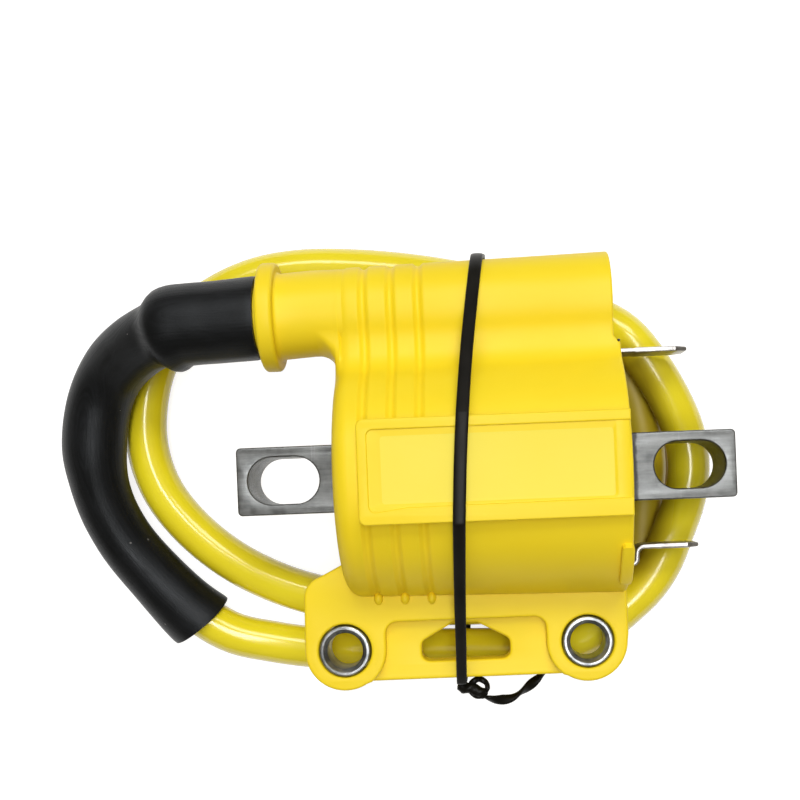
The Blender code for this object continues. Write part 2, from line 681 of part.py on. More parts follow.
def blade_solid(name, path, tip, material):
    """A flat terminal bent along an XY path, narrow in the resin, bevelled at its tip."""
    half = BLADE_THICK / 2.0
    rings = []
    for index, point in enumerate(path):
        here = Vector(point)
        before = Vector(path[max(index - 1, 0)])
        after = Vector(path[min(index + 1, len(path) - 1)])
        tangent = (after - before).normalized()
        side = Vector((-tangent.y, tangent.x)) * half
        z_run = BLADE_ROOT_Z if here.x < BLADE_ROOT_END else BLADE_Z
        if tip - here.x < 0.01:
            side = side * 0.45
            z_run = (BLADE_Z[0] + TIP_TAPER[1], BLADE_Z[1] - TIP_TAPER[1])
        rings.append([(here.x - side.x, here.y - side.y, z_run[0]),
                      (here.x + side.x, here.y + side.y, z_run[0]),
                      (here.x + side.x, here.y + side.y, z_run[1]),
                      (here.x - side.x, here.y - side.y, z_run[1])])
    return finish(name, loft(rings), material)


def build_terminals(material):
    """Straight signal blade above, cranked ground blade below."""
    step = 0.05
    signal = [(BLADE_ROOT_START, SIGNAL_Y), (BLADE_ROOT_END - step, SIGNAL_Y),
              (BLADE_ROOT_END, SIGNAL_Y), (SIGNAL_TIP - TIP_TAPER[0], SIGNAL_Y),
              (SIGNAL_TIP, SIGNAL_Y)]
    blade_solid("signal_terminal", signal, SIGNAL_TIP, material)
    ground = [(BLADE_ROOT_START, GROUND_ROOT_Y), (BLADE_ROOT_END - step, GROUND_ROOT_Y),
              (BLADE_ROOT_END, GROUND_ROOT_Y), *GROUND_CRANK, (GROUND_CRANK_END, GROUND_Y),
              (GROUND_TIP - TIP_TAPER[0], GROUND_Y), (GROUND_TIP, GROUND_Y)]
    blade_solid("ground_terminal", ground, GROUND_TIP, material)


def build_contact(material):
    """Brass contact at the bottom of the tower's bore."""
    x = CONTACT_X
    profile = [(x, CONTACT_R - 0.3), (x + 0.3, CONTACT_R), (x + CONTACT_THICK, CONTACT_R),
               (x + CONTACT_THICK, CONTACT_BOSS_R),
               (x + CONTACT_THICK + CONTACT_BOSS, CONTACT_BOSS_R)]
    finish("ht_contact", turned_x(profile, BARREL_Y, BARREL_Z, 24), material)


# ================================================================ windings
def build_primary(bobbin_material, wire_material, wrap_material):
    """Primary bobbin with its square bore, its winding and the wrap over it."""
    left, right = BOBBIN_X
    inside = (left + BOBBIN_FLANGE, right - BOBBIN_FLANGE)
    profile = [(left, BOBBIN_FLANGE_R), (inside[0], BOBBIN_FLANGE_R), (inside[0], BOBBIN_BODY_R),
               (inside[1], BOBBIN_BODY_R), (inside[1], BOBBIN_FLANGE_R), (right, BOBBIN_FLANGE_R)]
    bobbin = finish("primary_bobbin", turned_x(profile, 0.0, CORE_Z), bobbin_material)
    half_y = CORE_WIDTH / 2.0 + SEAT_GAP
    half_z = core_height() / 2.0 + SEAT_GAP
    cut(bobbin, block((left - 1.0, right + 1.0), (-half_y, half_y),
                      (CORE_Z - half_z, CORE_Z + half_z)), "bobbin_bore")
    run = (inside[0] + SEAT_GAP, inside[1] - SEAT_GAP)
    for name, radii, material in (("primary_winding", PRIMARY_R, wire_material),
                                  ("layer_insulation", INSULATION_R, wrap_material)):
        tube = tube_x([(run[0], radii[1]), (run[1], radii[1])],
                      [(run[0], radii[0]), (run[1], radii[0])], 0.0, CORE_Z)
        finish(name, tube, material)


def build_secondary(bobbin_material, wire_material):
    """Sectioned bobbin and one bundle of fine wire in each section."""
    left, right = BOBBIN_X
    pitch = (right - left - RIB_THICK) / SECTION_COUNT
    bore, tube_r = SECONDARY_TUBE_R
    outer = []
    for index in range(SECTION_COUNT + 1):
        rib = left + pitch * index
        if index:
            outer.append((rib, tube_r))
        outer += [(rib, RIB_R), (rib + RIB_THICK, RIB_R)]
        if index < SECTION_COUNT:
            outer.append((rib + RIB_THICK, tube_r))
    finish("secondary_bobbin", tube_x(outer, [(left, bore), (right, bore)], 0.0, CORE_Z),
           bobbin_material)
    for index in range(SECTION_COUNT):
        low = left + pitch * index + RIB_THICK + SEAT_GAP
        high = left + pitch * (index + 1) - SEAT_GAP
        bundle = tube_x([(low, SECONDARY_R[1]), (high, SECONDARY_R[1])],
                        [(low, SECONDARY_R[0]), (high, SECONDARY_R[0])], 0.0, CORE_Z)
        finish(f"secondary_winding_{index + 1}", bundle, wire_material)


def build_wires(material):
    """Link from the secondary to the tower's contact, and the two leads of the blades."""
    last = BOBBIN_X[1] - LINK_DROP
    start = SECONDARY_R[1] + SEAT_GAP + WIRE_R + 0.1
    rise = [(last + x, y, z) for x, y, z in LINK_RISE]
    end = CONTACT_X + CONTACT_THICK + CONTACT_BOSS + SEAT_GAP
    link = smooth_curve([(last, start, LINK_START_Z), *rise,
                         (last + LINK_TURN_X, BARREL_Y, BARREL_Z),
                         (LINK_MID_X, BARREL_Y, BARREL_Z), (end, BARREL_Y, BARREL_Z)], 4)
    add_tube_curve("ht_link_wire", link, WIRE_R, material, 1)
    x = BOBBIN_X[1] + SEAT_GAP + WIRE_R
    z = CORE_Z
    lean = (x + BLADE_WIRE_X[0], x + BLADE_WIRE_X[1])
    up = smooth_curve([(x, BOBBIN_BODY_R, z), (lean[0], BLADE_WIRE_Y[0], z),
                       (lean[1], SIGNAL_Y - BLADE_THICK / 2.0 - SEAT_GAP, z)], 4)
    add_tube_curve("primary_lead_wire", up, WIRE_R, material, 1)
    down = smooth_curve([(x, -BOBBIN_BODY_R, z), (lean[0], BLADE_WIRE_Y[1], z),
                         (lean[1], GROUND_ROOT_Y + BLADE_THICK / 2.0 + SEAT_GAP, z)], 4)
    add_tube_curve("ground_lead_wire", down, WIRE_R, material, 1)


def build_resin(material):
    """Resin plug that closes the open end, with room for the core and both blades."""
    low, high = RESIN_X
    gap = SEAT_GAP
    resin = finish("potting_resin",
                   turned_x([(low, CAVITY_R - gap), (high, CAVITY_R - gap)], 0.0, CORE_Z, 48),
                   material)
    bridge = block((low, high), (CAVITY_R - 4.0, BARREL_Y - 2.0),
                   (CHANNEL_Z[0] + gap, CHANNEL_Z[1] - gap))
    join(resin, bridge, "resin_bridge")
    barrel_r = BARREL_CAVITY_R - gap
    join(resin, turned_x([(low, barrel_r), (high, barrel_r)], BARREL_Y, BARREL_Z, 24),
         "resin_barrel")
    half_y = CORE_WIDTH / 2.0 + gap
    half_z = core_height() / 2.0 + gap
    cut(resin, block((low - 1.0, high + 1.0), (-half_y, half_y),
                     (CORE_Z - half_z, CORE_Z + half_z)), "resin_core_hole")
    half = BLADE_THICK / 2.0 + gap
    z_run = (BLADE_ROOT_Z[0] - gap, BLADE_ROOT_Z[1] + gap)
    for side, y in (("signal", SIGNAL_Y), ("ground", GROUND_ROOT_Y)):
        cut(resin, block((low - 1.0, high + 1.0), (y - half, y + half), z_run),
            f"resin_{side}_hole")


# ================================================================ lead, sleeve and tie
def lead_points():
    """Points of the lead, closer together under the sleeve, and its whole length."""
    fine = smooth_curve(LEAD_ROUTE)
    total = lengths_along(fine)
    near = int(round(SLEEVE_LENGTH / LEAD_STEP_SLEEVE))
    stations = [SLEEVE_LENGTH * i / near for i in range(near)]
    rest = total[-1] - SLEEVE_LENGTH
    far = int(round(rest / LEAD_STEP))
    stations += [SLEEVE_LENGTH + rest * i / far for i in range(far + 1)]
    return [at_length(fine, total, station) for station in stations], total[-1]


def least_gap(fine, total):
    """Smallest distance between two turns of the lead, surface to surface."""
    spots = [at_length(fine, total, station) for station in range(0, int(total[-1]), 2)]
    least = 1000.0
    skip = 14
    for index, here in enumerate(spots):
        for other in spots[index + skip:]:
            least = min(least, (here - other).length)
    return least - 2.0 * LEAD_R


def build_lead(lead_material, conductor_material):
    """The high-tension lead as one tube, with its conductor at the bare end."""
    points, length = lead_points()
    add_tube_curve("ht_lead", points, LEAD_R, lead_material, 3)
    fine = smooth_curve(LEAD_ROUTE)
    gap = least_gap(fine, lengths_along(fine))
    print(f"lead: {length:.1f} mm long, {len(points)} points, least gap to itself {gap:.2f} mm")
    assert gap > LEAST_LEAD_GAP, "two turns of the lead are too close"
    direction = (points[-1] - points[-2]).normalized()
    start = points[-1] + direction * SEAT_GAP
    stub = [start, start + direction * CONDUCTOR_STUB]
    add_tube_curve("lead_conductor", stub, CONDUCTOR_R, conductor_material, 2)


def build_sleeve(material):
    """Rubber sleeve over spigot and lead: wide on the spigot, close on the lead after it."""
    fine = smooth_curve(LEAD_ROUTE)
    total = lengths_along(fine)
    start = LEAD_START - SLEEVE_START
    spigot = LEAD_START - SPIGOT_END
    near = int(round(SLEEVE_LENGTH / LEAD_STEP_SLEEVE))
    pitch = SLEEVE_LENGTH / near
    first = math.ceil((spigot + 5.0) / pitch)
    shared = [pitch * i for i in range(first, near + 1)]
    shoulder = [start + 1.0, start + 6.0, spigot - 1.6, spigot + 0.4, spigot + 2.2, spigot + 4.0]
    outer_r = [SLEEVE_R_SPIGOT, SLEEVE_R_SPIGOT, SLEEVE_R_SPIGOT + 0.15, SLEEVE_R_SPIGOT,
               SLEEVE_R + 0.7, SLEEVE_R + 0.15]
    inner_r = [SLEEVE_BORE_SPIGOT] * 4 + [SLEEVE_BORE + 0.4, SLEEVE_BORE]
    stations = [max(start, 0.05)] + shoulder + shared
    outer_r = [SLEEVE_R_SPIGOT - 0.3] + outer_r + [SLEEVE_R] * len(shared)
    inner_r = [SLEEVE_BORE_SPIGOT] + inner_r + [SLEEVE_BORE] * len(shared)
    path = [at_length(fine, total, station) for station in stations]
    outer = sweep_rings(path, outer_r, 16)
    inner = sweep_rings(path, inner_r, 16)
    finish("lead_sleeve", loft(outer + list(reversed(inner)), closed=True), material)


def hull(points):
    """Convex outline of 2-D points, counter-clockwise."""
    ordered = sorted(set(points))
    lower = []
    upper = []
    for chain, run in ((lower, ordered), (upper, list(reversed(ordered)))):
        for point in run:
            while len(chain) > 1:
                ax = chain[-1][0] - chain[-2][0]
                ay = chain[-1][1] - chain[-2][1]
                bx = point[0] - chain[-2][0]
                by = point[1] - chain[-2][1]
                if ax * by - ay * bx > 0.0:
                    break
                chain.pop()
            chain.append(point)
    return lower[:-1] + upper[:-1]


def tie_path():
    """The taut line of the tie round everything it holds, in the YZ plane, with its x."""
    reach = TIE_GAP + TIE_THICK / 2.0
    tie_x = interpolate(TIE_FRONT, 0.0)
    barrel_r = barrel_radius(tie_x) + reach
    round_things = [((BARREL_Y, BARREL_Z), barrel_r), (TIE_LEAD_TOP, LEAD_R + reach),
                    (TIE_LEAD_LOW, LEAD_R + reach), ((0.0, CORE_Z), case_radius(tie_x) + reach)]
    for y in LABEL_Y:
        round_things.append(((y, LABEL_Z), reach))
    for z in (FLANGE_REAR, FLANGE_FRONT - POCKET_DEPTH):
        round_things.append(((WEB_BOTTOM, z), reach))
    cloud = []
    for centre, radius in round_things:
        cloud += arc(centre, radius, 0.0, 360.0, 24)[:-1]
    floor = TIE_THICK / 2.0 + 0.15
    outline = hull([(round(y, 4), round(max(z, floor), 4)) for y, z in cloud])
    path = []
    for index, (y, z) in enumerate(outline):
        after = outline[(index + 1) % len(outline)]
        gap = math.hypot(after[0] - y, after[1] - z)
        steps = max(1, int(gap / 7.0))
        for step in range(steps):
            share = step / steps
            path.append((y + (after[0] - y) * share, z + (after[1] - z) * share))
    return path


def build_tie(material):
    """Loop, knot, small eye and tail of the twist tie, joined into one body."""
    path = tie_path()
    half_w = TIE_WIDTH / 2.0
    half_t = TIE_THICK / 2.0
    count = len(path)
    first_y, first_x = TIE_FRONT[0]
    last_y, last_x = TIE_FRONT[-1]
    rings = []
    for index, (y, z) in enumerate(path):
        before = path[index - 1]
        after = path[(index + 1) % count]
        tangent = Vector((after[0] - before[0], after[1] - before[1])).normalized()
        out = Vector((tangent.y, -tangent.x)) * half_t
        if z > FLANGE_REAR:
            x = interpolate(TIE_FRONT, y)
        else:
            x = first_x + (last_x - first_x) * (y - first_y) / (last_y - first_y)
        rings.append([(x - half_w, y + out.x, z + out.y), (x + half_w, y + out.x, z + out.y),
                      (x + half_w, y - out.x, z - out.y), (x - half_w, y - out.x, z - out.y)])
    tie = finish("twist_tie", loft(rings, closed=True), material)
    knot = smooth_curve(TIE_KNOT, 3)
    spread = [TIE_KNOT_R * (0.55 if i in (0, len(knot) - 1) else 1.0) for i in range(len(knot))]
    join(tie, loft(sweep_rings(knot, spread, 10)), "tie_knot")
    eye = [Vector((TIE_EYE[0] + y, TIE_EYE[1] + z, TIE_EYE[2]))
           for y, z in arc((0.0, 0.0), TIE_EYE_R, 0.0, 360.0, 14)[:-1]]
    rings = []
    for point in eye:
        outward = (point - Vector(TIE_EYE)).normalized()
        ring = []
        for step in range(8):
            angle = 2.0 * math.pi * step / 8
            ring.append(point + (outward * math.cos(angle)
                                 + Vector((0.0, 0.0, math.sin(angle)))) * TIE_TAIL_R * 0.8)
        rings.append(ring)
    join(tie, loft(rings, closed=True), "tie_eye")
    tail = smooth_curve(TIE_TAIL, 3)
    join(tie, loft(sweep_rings(tail, [TIE_TAIL_R] * len(tail), 8)), "tie_tail")


def centre_on_origin():
    """Hang everything on one empty, with the middle of case and core over the origin."""
    middle_x = (SPIGOT_END + CORE_LENGTH / 2.0) / 2.0
    middle_y = (BARREL_Y + COLLAR_R + EAR_LEFT[1] - EAR_R) / 2.0
    solids = list(bpy.data.objects)
    axes = bpy.data.objects.new("coil_axes", None)
    axes.location = (-middle_x * MM, -middle_y * MM, 0.0)
    bpy.context.collection.objects.link(axes)
    for solid in solids:
        solid.parent = axes


def main():
    """Build every piece of the coil."""
    clear_scene()
    yellow = make_material("case_yellow", (0.93, 0.72, 0.03), 0.42)
    lead_yellow = make_material("lead_yellow", (0.62, 0.52, 0.02), 0.25)
    steel = make_material("core_steel", (0.42, 0.43, 0.44), 0.38, 1.0)
    zinc = make_material("zinc", (0.68, 0.69, 0.70), 0.22, 1.0)
    tin = make_material("tin", (0.78, 0.77, 0.73), 0.28, 1.0)
    brass = make_material("brass", (0.72, 0.52, 0.20), 0.30, 1.0)
    copper = make_material("copper", (0.72, 0.32, 0.16), 0.35, 1.0)
    bobbin = make_material("bobbin_nylon", (0.70, 0.66, 0.55), 0.5)
    wrap = make_material("wrap_film", (0.85, 0.62, 0.25), 0.4)
    resin = make_material("resin_black", (0.03, 0.03, 0.035), 0.35)
    rubber = make_material("sleeve_rubber", (0.015, 0.015, 0.017), 0.42)
    tie = make_material("tie_black", (0.012, 0.012, 0.012), 0.45)
    build_case(yellow)
    build_core(steel)
    build_bushings(zinc)
    build_terminals(tin)
    build_contact(brass)
    build_primary(bobbin, copper, wrap)
    build_secondary(bobbin, copper)
    build_wires(copper)
    build_resin(resin)
    build_lead(lead_yellow, copper)
    build_sleeve(rubber)
    build_tie(tie)
    centre_on_origin()


main()
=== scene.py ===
"""Looks of a potted ignition coil with its sleeved high-tension lead, tied up for shipping.

All sizes are in millimetres unless a name says otherwise, and become metres when a piece is
finished. +X runs along the laminated core, +Y towards the high-tension tower and +Z from the
table to the camera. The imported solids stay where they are; most of the pieces that show are
modelled again here with the mouldings, edges and finishes of the real coil.
"""
from __future__ import annotations

import logging
from dataclasses import dataclass, field
from enum import Enum
from math import acos, asin, atan2, cos, degrees, exp, hypot, pi, radians, sin, sqrt, tan
from typing import Iterable, Sequence

import bmesh
import bpy
from mathutils import Matrix, Vector

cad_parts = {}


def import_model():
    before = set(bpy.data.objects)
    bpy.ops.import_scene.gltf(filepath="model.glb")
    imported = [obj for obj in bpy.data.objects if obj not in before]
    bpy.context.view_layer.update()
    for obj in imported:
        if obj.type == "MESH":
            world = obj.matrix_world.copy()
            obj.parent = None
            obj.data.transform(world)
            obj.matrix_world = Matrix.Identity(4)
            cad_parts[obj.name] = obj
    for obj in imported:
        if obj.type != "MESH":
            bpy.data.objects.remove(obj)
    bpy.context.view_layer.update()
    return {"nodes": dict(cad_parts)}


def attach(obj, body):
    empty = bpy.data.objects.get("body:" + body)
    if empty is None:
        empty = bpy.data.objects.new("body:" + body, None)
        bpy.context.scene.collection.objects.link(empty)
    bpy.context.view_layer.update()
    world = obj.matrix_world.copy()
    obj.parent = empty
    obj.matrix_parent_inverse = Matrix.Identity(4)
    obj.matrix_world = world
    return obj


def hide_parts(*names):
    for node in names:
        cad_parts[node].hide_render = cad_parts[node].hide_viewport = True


MM = 0.001
ORIGIN_SHIFT = Vector((4.0, -0.475, 0.0))   # from the coil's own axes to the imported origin
ROOT = "root"
LOG = logging.getLogger("coil")

Point2 = tuple[float, float]
Point3 = tuple[float, float, float]
BMesh = bmesh.types.BMesh
Material = bpy.types.Material
Node = bpy.types.Node
Object = bpy.types.Object
Socket = bpy.types.NodeSocket


class Turn(Enum):
    """Axis that a turned profile goes round, and the direction of its radius."""

    ALONG_X = ((1.0, 0.0, 0.0), (0.0, 0.0, 1.0))
    UPRIGHT = ((0.0, 0.0, 1.0), (1.0, 0.0, 0.0))


# ---- Sizes shared by several pieces, as in the part's own design ----
@dataclass(frozen=True)
class CoilSizes:
    """Driving sizes of the coil, in millimetres."""

    core_z: float = 18.0
    core_length: float = 77.0
    core_width: float = 10.5
    core_height: float = 11.0
    slot_length: float = 11.0
    slot_width: float = 7.3
    slot_end_land: float = 1.7
    case_left: float = -22.4
    case_right: float = 20.9
    case_r: Point2 = (18.7, 19.6)
    cavity_r: float = 15.6
    back_z: float = 1.3
    barrel_y: float = 25.8
    barrel_z: float = 21.0
    barrel_r: Point2 = (6.8, 7.8)
    barrel_cavity_r: float = 5.4
    barrel_step: float = 1.0
    valley_r: float = 5.5
    inner_valley_r: float = 6.1
    grooves: Point3 = (-17.725, -13.555, -9.385)
    label_y: Point2 = (-7.1, 8.05)
    label_z: float = 37.8
    flange_front: float = 20.3
    flange_rear: float = 14.3
    web_bottom: float = -32.2
    spigot_r: float = 5.35
    spigot_end: float = -46.5
    collar_left: float = -33.8
    collar_right: float = -31.2
    contact_x: float = -34.2
    lead_r: float = 3.5
    sleeve_length: float = 79.0
    ear_left: Point2 = (-23.3, -27.0)
    ear_right: Point2 = (14.8, -27.0)
    ear_r: float = 6.25
    bushing_r: float = 4.0

    def radius_at(self, ends: Point2, x: float) -> float:
        """Radius at x of the case or the barrel, which widen towards the open end."""
        return mix(*ends, (x - self.case_left) / (self.case_right - self.case_left))


SIZES = CoilSizes()

LEAD_ROUTE: tuple[Point3, ...] = (
    (-34.5, 25.8, 21.0), (-41.0, 25.8, 21.0), (-46.8, 25.8, 20.95),
    (-51.5, 24.8, 19.3), (-56.2, 22.7, 16.0), (-60.3, 19.7, 12.9), (-63.1, 15.5, 11.0),
    (-64.6, 10.2, 10.1), (-64.9, 4.2, 9.5), (-63.8, -2.0, 8.4), (-61.0, -8.0, 7.2),
    (-56.3, -14.4, 6.0), (-50.6, -20.6, 5.3), (-44.4, -25.0, 4.6), (-37.5, -27.0, 3.9),
    (-30.0, -28.3, 3.7), (-20.0, -29.0, 4.1), (-5.0, -29.4, 4.8), (4.0, -29.6, 5.7),
    (9.6, -29.3, 7.4), (14.2, -27.8, 9.1), (18.0, -25.5, 10.2), (21.6, -22.7, 10.45),
    (25.2, -19.5, 10.6), (28.1, -15.6, 10.4), (30.5, -10.6, 9.4), (32.8, -5.4, 8.0),
    (33.8, 0.2, 7.6), (33.0, 5.9, 8.0), (30.7, 11.3, 9.3), (27.6, 16.6, 10.3),
    (23.8, 21.7, 10.3), (19.4, 24.9, 9.0), (13.4, 27.2, 7.4), (5.5, 30.2, 5.5),
    (-3.9, 32.8, 4.8), (-13.0, 34.6, 4.4), (-22.5, 35.8, 3.7), (-31.0, 36.0, 3.55),
    (-38.5, 34.8, 3.55), (-45.4, 31.8, 3.55), (-51.3, 27.2, 3.55), (-55.4, 21.2, 3.55),
    (-57.4, 14.2, 3.55), (-57.6, 7.0, 3.55), (-55.6, 0.0, 3.55), (-51.4, -6.2, 3.55),
    (-45.4, -11.8, 3.55), (-38.6, -16.0, 3.55), (-30.5, -19.2, 3.6), (-21.0, -21.0, 3.9),
    (-12.0, -21.7, 4.5), (-3.0, -21.9, 4.8), (5.0, -21.9, 4.4), (10.6, -21.5, 3.8),
    (15.8, -20.9, 3.55), (20.0, -19.7, 3.55), (23.3, -17.7, 3.55), (25.3, -14.3, 3.55),
    (25.8, -10.2, 3.55), (26.4, -5.2, 3.55), (27.0, 0.2, 3.55), (26.7, 5.4, 3.55),
    (26.0, 10.4, 3.55), (24.8, 14.6, 3.55), (23.3, 17.3, 3.55), (21.9, 19.0, 3.55),
)


# ---- Small geometry tools ----
def mix(first: float, last: float, share: float) -> float:
    """Value at a share of the way from first to last."""
    return first + (last - first) * share


def mix_pair(first: Point2, last: Point2, share: float) -> Point2:
    """Pair at a share of the way from first to last."""
    return mix(first[0], last[0], share), mix(first[1], last[1], share)


def blend_step(value: float, low: float, high: float) -> float:
    """Smooth step of value from 0 at low to 1 at high."""
    share = min(max((value - low) / (high - low), 0.0), 1.0)
    return share * share * (3.0 - 2.0 * share)


def packed(point: Sequence[float]) -> Vector:
    """A place on the coil's own axes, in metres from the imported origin."""
    return (Vector(point) + ORIGIN_SHIFT) * MM


def arc(centre: Point2, radius: float, start: float, end: float, count: int) -> list[Point2]:
    """Points of an arc, both ends included.

    Args:
        centre: Middle of the arc.
        radius: Its radius.
        start: First angle in degrees.
        end: Last angle in degrees.
        count: Number of steps.

    Returns:
        count + 1 points.
    """
    turns = [radians(mix(start, end, i / count)) for i in range(count + 1)]
    return [(centre[0] + radius * cos(t), centre[1] + radius * sin(t)) for t in turns]


def rounded(corners: Sequence[Point2], radius: float, count: int = 6) -> list[Point2]:
    """A closed outline with each corner rounded.

    Args:
        corners: Sharp corners in order.
        radius: Radius of every corner.
        count: Steps of each round.

    Returns:
        The outline's points.
    """
    outline: list[Point2] = []
    for index, corner in enumerate(corners):
        here = Vector(corner)
        before = (Vector(corners[index - 1]) - here).normalized()
        after = (Vector(corners[(index + 1) % len(corners)]) - here).normalized()
        half = before.angle(after) / 2.0
        middle = here + (before + after).normalized() * (radius / sin(half))
        first = here + before * (radius / tan(half)) - middle
        last = here + after * (radius / tan(half)) - middle
        sweep = first.angle_signed(last)
        for step in range(count + 1):
            cosine, sine = cos(-sweep * step / count), sin(-sweep * step / count)
            outline.append((middle.x + first.x * cosine - first.y * sine,
                            middle.y + first.x * sine + first.y * cosine))
    return outline


def rectangle(x_run: Point2, y_run: Point2) -> list[Point2]:
    """Corners of a rectangle, counter-clockwise."""
    return [(x_run[0], y_run[0]), (x_run[1], y_run[0]), (x_run[1], y_run[1]), (x_run[0], y_run[1])]


def interpolate(pairs: Sequence[Point2], value: float) -> float:
    """Smooth interpolation in a rising table, through every pair.

    Args:
        pairs: (key, result) pairs with rising keys.
        value: The key that is looked up.

    Returns:
        The result on the curve between the two nearest keys.
    """
    if value <= pairs[0][0]:
        return pairs[0][1]
    for index, ((low, first), (high, second)) in enumerate(zip(pairs, pairs[1:])):
        if value > high:
            continue
        before = pairs[max(index - 1, 0)]
        after = pairs[min(index + 2, len(pairs) - 1)]
        span = high - low
        leave = (second - before[1]) / (high - before[0]) * span
        arrive = (after[1] - first) / (after[0] - low) * span
        t = (value - low) / span
        return (first * (1.0 + 2.0 * t) * (1.0 - t) ** 2 + leave * t * (1.0 - t) ** 2
                + second * t * t * (3.0 - 2.0 * t) - arrive * t * t * (1.0 - t))
    return pairs[-1][1]


@dataclass
class SmoothPath:
    """A Catmull-Rom curve through given points, readable by distance along it."""

    route: Sequence[Point3]
    per_span: int = 12
    fine: list[Vector] = field(default_factory=list)
    total: list[float] = field(default_factory=lambda: [0.0])

    def __post_init__(self) -> None:
        """Sample the curve finely and measure it."""
        points = [Vector(point) for point in self.route]
        for index, (start, end) in enumerate(zip(points, points[1:])):
            before = points[max(index - 1, 0)]
            after = points[min(index + 2, len(points) - 1)]
            for t in (step / self.per_span for step in range(self.per_span)):
                self.fine.append(0.5 * (2.0 * start + (end - before) * t
                                        + (2.0 * before - 5.0 * start + 4.0 * end - after) * t * t
                                        + (3.0 * start - before - 3.0 * end + after) * t ** 3))
        self.fine.append(points[-1])
        for last, here in zip(self.fine, self.fine[1:]):
            self.total.append(self.total[-1] + (here - last).length)

    @property
    def length(self) -> float:
        """Length of the whole curve."""
        return self.total[-1]

    def at(self, distance: float) -> Vector:
        """Point at a distance along the curve.

        Args:
            distance: Distance from the start.

        Returns:
            The point.
        """
        for index in range(1, len(self.fine)):
            if self.total[index] >= distance:
                span = max(self.total[index] - self.total[index - 1], 1e-9)
                share = (distance - self.total[index - 1]) / span
                return self.fine[index - 1].lerp(self.fine[index], share)
        return self.fine[-1].copy()

    def spaced(self, step: float, start: float = 0.0, end: float | None = None) -> list[Vector]:
        """Evenly spaced points.

        Args:
            step: Wanted distance between two points.
            start: Distance of the first point.
            end: Distance of the last point, or None for the end of the curve.

        Returns:
            The points, both ends included.
        """
        last = self.length if end is None else end
        count = max(1, round((last - start) / step))
        return [self.at(mix(start, last, i / count)) for i in range(count + 1)]


def frames_along(points: Sequence[Vector], side: Vector) -> list[tuple[Vector, Vector]]:
    """Sideways and upward directions square to a path, with little twist.

    Args:
        points: The path.
        side: Rough sideways direction at its start.

    Returns:
        One (side, up) pair for each point.
    """
    frames: list[tuple[Vector, Vector]] = []
    for before, after in zip([points[0], *points], [*points[1:], points[-1]]):
        tangent = (after - before).normalized()
        side = (side - tangent * side.dot(tangent)).normalized()
        frames.append((side, side.cross(tangent)))
    return frames


def skin(rings: Sequence[Sequence[Vector]], joined: bool = False) -> BMesh:
    """Extrude one ring of edges through a row of rings.

    Args:
        rings: Equal rings of points.
        joined: Join the last ring to the first, instead of closing both with a face.

    Returns:
        The mesh, in millimetres.
    """
    bm = bmesh.new()
    first = current = [bm.verts.new(point) for point in rings[0]]
    edges = ring_edges = [bm.edges.new(pair) for pair in zip(first, [*first[1:], first[0]])]
    if not joined:
        bm.faces.new(first)
    for ring in rings[1:]:
        geometry = bmesh.ops.extrude_edge_only(bm, edges=ring_edges)["geom"]
        fresh = {item for item in geometry if isinstance(item, bmesh.types.BMVert)}
        current = [next(edge.other_vert(vert) for edge in vert.link_edges
                        if edge.other_vert(vert) in fresh) for vert in current]
        for vert, place in zip(current, ring):
            vert.co = place
        ring_edges = [bm.edges.get(pair) for pair in zip(current, [*current[1:], current[0]])]
    if joined:
        bmesh.ops.bridge_loops(bm, edges=edges + ring_edges)
    else:
        bm.faces.new(current)
    return bm


def turned(profile: Sequence[Point2], place: Vector, axis: Turn, steps: int,
           closed: bool = False) -> BMesh:
    """Spin an (along, radius) profile round a line.

    Args:
        profile: Points as distance along the axis and radius.
        place: A point on the axis, from which the distance along counts.
        axis: Which way the axis runs.
        steps: Number of steps of the full turn.
        closed: Whether the profile's last point joins its first.

    Returns:
        The turned mesh, in millimetres.
    """
    bm = bmesh.new()
    along, outward = (Vector(direction) for direction in axis.value)
    verts = [bm.verts.new(place + along * a + outward * r) for a, r in profile]
    edges = [bm.edges.new(pair) for pair in zip(verts, verts[1:])]
    if closed:
        edges.append(bm.edges.new((verts[-1], verts[0])))
    bmesh.ops.spin(bm, geom=verts + edges, cent=place, axis=along, dvec=(0.0, 0.0, 0.0),
                   angle=2.0 * pi, steps=steps, use_merge=True)
    bmesh.ops.remove_doubles(bm, verts=bm.verts, dist=1e-4)
    return bm


def soft_box(low: Point3, high: Point3, edge: float) -> BMesh:
    """A box between two corners, its edges rounded by the width of edge.

    Args:
        low: Lowest corner.
        high: Highest corner.
        edge: Width of the rounding.

    Returns:
        The mesh, in millimetres.
    """
    bm = bmesh.new()
    bmesh.ops.create_cube(bm, size=1.0)
    bmesh.ops.scale(bm, vec=Vector(high) - Vector(low), verts=bm.verts)
    bmesh.ops.translate(bm, vec=(Vector(low) + Vector(high)) / 2.0, verts=bm.verts)
    bmesh.ops.bevel(bm, geom=list(bm.edges), offset=edge, offset_type="OFFSET",
                    affect="EDGES", segments=3, profile=0.5, material=-1)
    return bm


def ball(size: Point3, place: Point3, sides: int, rows: int) -> BMesh:
    """A ball or egg of the given half widths round a place.

    Args:
        size: Half widths along X, Y and Z.
        place: Its middle.
        sides: Steps round it.
        rows: Steps from pole to pole.

    Returns:
        The mesh, in millimetres.
    """
    bm = bmesh.new()
    bmesh.ops.create_uvsphere(bm, u_segments=sides, v_segments=rows, radius=1.0)
    bmesh.ops.scale(bm, vec=size, verts=bm.verts)
    bmesh.ops.translate(bm, vec=place, verts=bm.verts)
    return bm


def put(name: str, data: bpy.types.ID) -> Object:
    """Link a new object with its data into the scene.

    Args:
        name: Name of the object.
        data: Its mesh, curve, lamp or camera.

    Returns:
        The object.
    """
    thing = bpy.data.objects.new(name, data)
    bpy.context.scene.collection.objects.link(thing)
    return thing


